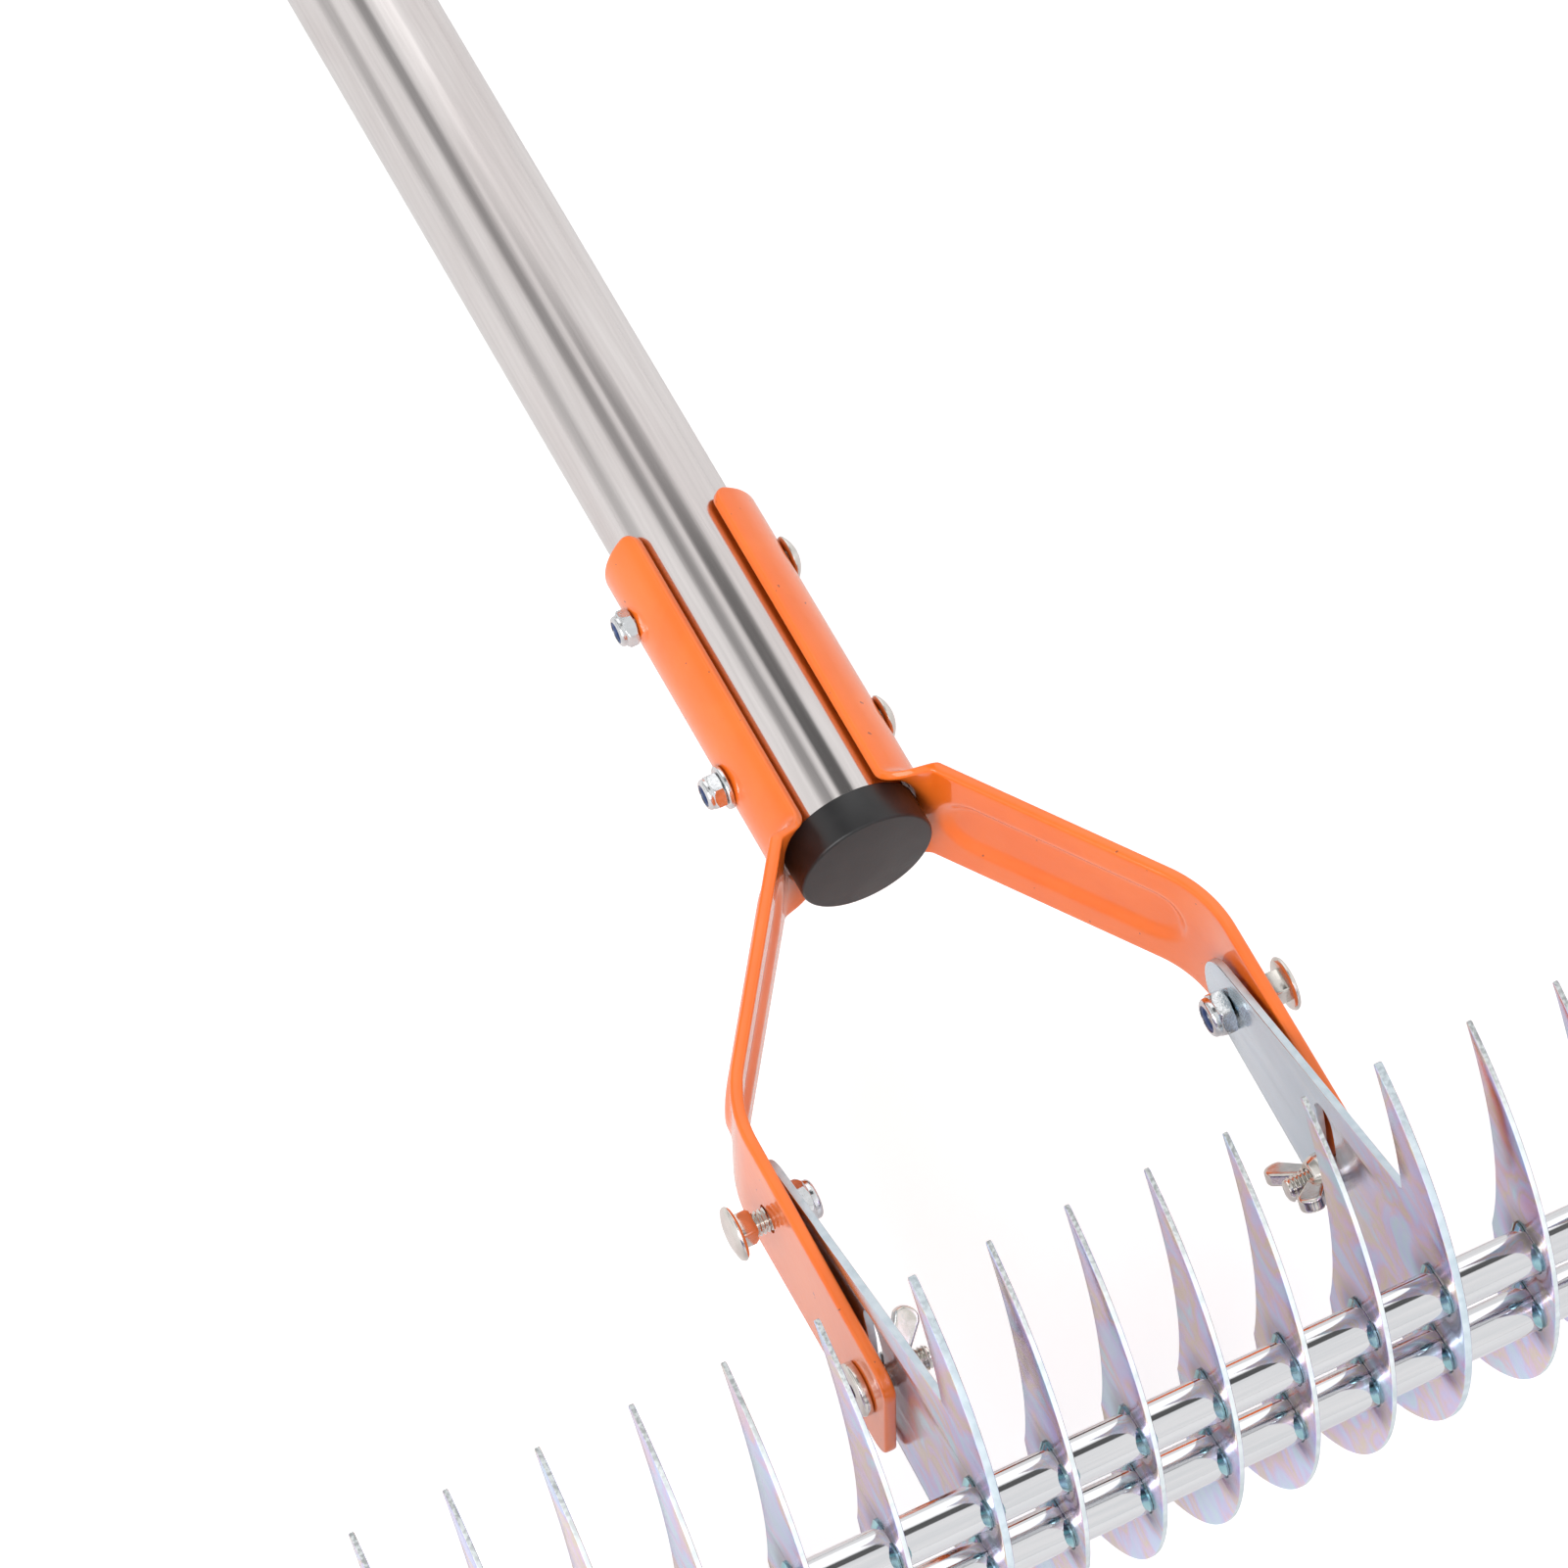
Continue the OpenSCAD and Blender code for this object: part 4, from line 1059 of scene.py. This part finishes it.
def makeWasher():
    outer, inner = washer["radius"], nut["bore"] * nut["tubeSize"] + washer["play"]
    start, end = washer["gap"], washer["sheet"]
    edge, holeEdge = washer["edge"], washer["holeEdge"]
    ring = turned([
        (inner, start, holeEdge), (outer, start, edge), (outer, end, edge), (inner, end, holeEdge)],
        "washer", loop=True)
    place = Matrix.Translation((-nutFeet[0], tubeBolts[0], 0))
    finishPiece("tubeWasher", ring, "handle", "zinc_fastener", ["tube_washer"], place)


def makeWingBolts():
    boltHead = lathe(roundCorners(wingBolt["head"], steps=6) + wingBolt["socket"], "head")
    thread = threadedRod(-wingBolt["length"], wingBolt["sunk"])
    mesh = joinMeshes("wingBolt", boltHead, thread)
    under = legOut + nut["seat"]
    rightRoll, leftRoll = wingBolt["rolls"]
    places = [((under, wingReach, 0), (rightRoll, 0, 0)), ((-under, wingReach, 0), (leftRoll, 0, math.pi))]
    bolts = repeatPiece(mesh, places, nickel)
    finishPiece("wingBolts", bolts, "handle", "nickel_fastener", ["wing_bolts"])


def wingOutline():
    end = (wingNut["wingRise"], (wingNut["span"] - wingNut["wingWidth"]) / 2)
    sweep = [math.radians(wingNut[angle]) for angle in ("tipStart", "tipEnd")]
    root = Vector((wingNut["wingThick"] / 2, wingNut["wingRoot"] * wingNut["bossFoot"]))
    top = Vector((wingNut["bossHeight"], wingNut["topHalf"]))
    half = [root] + arc(end, wingNut["wingWidth"] / 2, *sweep, wingNut["tipSteps"]) + [top]
    return half + mirrored(half)


def wingNutMesh():
    foot, height, rounds = wingNut["bossFoot"], wingNut["bossHeight"], wingNut["bossRounds"]
    boss = turned([
        (0, 0), (foot, 0, rounds[0]), (foot - wingNut["waistIn"], wingNut["waistRise"], rounds[1]),
        (wingNut["bossTop"], height, rounds[2]), (0, height)], "boss", segments=64)
    wings = stampedSheet("wings", [wingOutline()], wingNut["wingThick"], wingNut["edge"])
    rough = addObject("wingNut", joinMeshes("wingNut", boss, wings))
    cast = rough.modifiers.new("cast", "REMESH")
    cast.mode = "VOXEL"
    cast.voxel_size = wingNut["grain"]
    soft = rough.modifiers.new("soft", "SMOOTH")
    soft.iterations = wingNut["smoothing"]
    pin = (wingNut["drillStart"], 0, boltHole, wingNut["drillLength"])
    return drill(takeMesh(rough), crossPins("wingHole", [pin]))


def makeWingNuts():
    whole = wingNutMesh()
    for name, node, body, side, angle in (
            ("leftWingNut", "left_wing_nut", "left_wing", -1, wingNut["leftAngle"]),
            ("rightWingNut", "right_wing_nut", "right_wing", 1, wingNut["rightAngle"])):
        roll = Matrix.Rotation(math.radians(angle), 4, "X")
        inwards = Matrix.Rotation(math.pi if side > 0 else 0, 4, "Z")
        place = Matrix.Translation((side * innerFoot, wingReach, 0)) @ roll @ inwards
        finishPiece(name, whole.copy(), body, "nickel_fastener", [node], place)


makeTubeBolts()
makePivotBolts()
makeNuts()
makeWasher()
makeWingBolts()
makeWingNuts()


# Stage: white floor, studio light and the camera, in metres

studio = dict(floorSize=12, floorDrop=0.0003, floorShade=0.83, floorGlow=0.46, glowInMetal=0.16, light=1.0)
lightCards = [  # angle, its start, end and fade, axis, its start, end and fade, change of level
    ("rise", 18, 64, 3, "x", 0.02, 0.42, 0.06, 0.5),
    ("rise", 69, 94, 2.5, "x", 0.02, 0.42, 0.06, -0.87),
    ("rise", 8, 138, 5, "x", -0.46, -0.16, 0.09, -0.6),
    ("side", 4, 26, 6, "y", 0.2, 0.8, 0.1, -0.34),
]
keyLamp = dict(place=(-1.4, -1.9, 1.5), aim=(0, -0.6, 0.05), size=1.6, power=29)
camera = dict(
    place=(-0.4163, -1.3367, 1.7180), aim=(-0.00849, -0.51027, 0.05177), roll=-0.48, lens=188.98, sensor=36,
    farthest=60)


def seenDirectly(tree, share):  # 1 for the camera and a share of it for what metal or glass shows
    path = addNode(tree, "ShaderNodeLightPath").outputs
    shown = mathNode(tree, "MAXIMUM", path["Is Glossy Ray"], path["Is Transmission Ray"])
    return mathNode(tree, "MAXIMUM", path["Is Camera Ray"], mathNode(tree, "MULTIPLY", shown, share))


def makeFloor():
    bm = bmesh.new()
    bmesh.ops.create_grid(bm, x_segments=1, y_segments=1, size=studio["floorSize"])
    floor = addObject("floor", storeMesh(bm, "floor"))
    floor.location.z = -studio["floorDrop"]
    material = bpy.data.materials.new("paleFloor")
    material.use_nodes = True
    tree = material.node_tree
    tree.nodes.clear()
    plain = addNode(tree, "ShaderNodeBsdfDiffuse", {"Color": (studio["floorShade"],) * 3 + (1,)})
    strength = mathNode(tree, "MULTIPLY", seenDirectly(tree, studio["glowInMetal"]), studio["floorGlow"])
    glow = addNode(tree, "ShaderNodeEmission", {"Strength": strength})
    both = addNode(tree, "ShaderNodeAddShader", {0: plain.outputs[0], 1: glow.outputs[0]})
    addNode(tree, "ShaderNodeOutputMaterial", {"Surface": both.outputs[0]})
    floor.data.materials.append(material)


def band(tree, value, start, end, soft):
    rise = spread(tree, value, start - soft, start + soft, 0, 1)
    fall = spread(tree, value, end - soft, end + soft, 1, 0)
    return mathNode(tree, "MULTIPLY", rise, fall)


def makeWorld():
    world = bpy.data.worlds.new("studio")
    world.use_nodes = True
    scene.world = world
    tree = world.node_tree
    background = tree.nodes["Background"]
    background.inputs["Color"].default_value = (1, 1, 1, 1)
    direction = addNode(tree, "ShaderNodeTexCoord").outputs["Generated"]
    x, y, z = addNode(tree, "ShaderNodeSeparateXYZ", {0: direction}).outputs
    rise = mathNode(tree, "ARCTAN2", z, y)  # 0 behind the rake, a quarter turn overhead
    side = mathNode(tree, "ARCTAN2", z, mathNode(tree, "MULTIPLY", x, -1))  # 0 on the left
    angles, axes = dict(rise=rise, side=side), dict(x=x, y=y)
    level = studio["light"]
    for angle, start, end, soft, axis, near, far, fade, change in lightCards:
        arch = band(tree, angles[angle], math.radians(start), math.radians(end), math.radians(soft))
        card = mathNode(tree, "MULTIPLY", arch, band(tree, axes[axis], near, far, fade))
        change = mathNode(tree, "ADD", 1, mathNode(tree, "MULTIPLY", card, change))
        level = mathNode(tree, "MULTIPLY", level, change)
    toCamera = addNode(tree, "ShaderNodeLightPath").outputs["Is Camera Ray"]
    unseen = mathNode(tree, "MULTIPLY", level, mathNode(tree, "SUBTRACT", 1, toCamera))
    tree.links.new(mathNode(tree, "ADD", unseen, toCamera), background.inputs["Strength"])


def makeLamp():
    data = bpy.data.lights.new("keyLamp", "AREA")
    data.size = keyLamp["size"]
    data.energy = keyLamp["power"]
    lamp = addObject("keyLamp", data)
    lamp.location = keyLamp["place"]
    lamp.rotation_euler = (Vector(keyLamp["aim"]) - lamp.location).to_track_quat("-Z", "Y").to_euler()


def makeCamera():
    data = bpy.data.cameras.new("camera")
    data.lens = camera["lens"]
    data.sensor_width = camera["sensor"]
    data.clip_end = camera["farthest"]
    eye = addObject("camera", data)
    place, aim = Vector(camera["place"]), Vector(camera["aim"])
    turn = (aim - place).to_track_quat("-Z", "Y").to_matrix().to_4x4()
    roll = Matrix.Rotation(math.radians(camera["roll"]), 4, "Z")
    eye.matrix_world = Matrix.Translation(place) @ turn @ roll
    scene.camera = eye


makeFloor()
makeWorld()
makeLamp()
makeCamera()
print("stage ready")
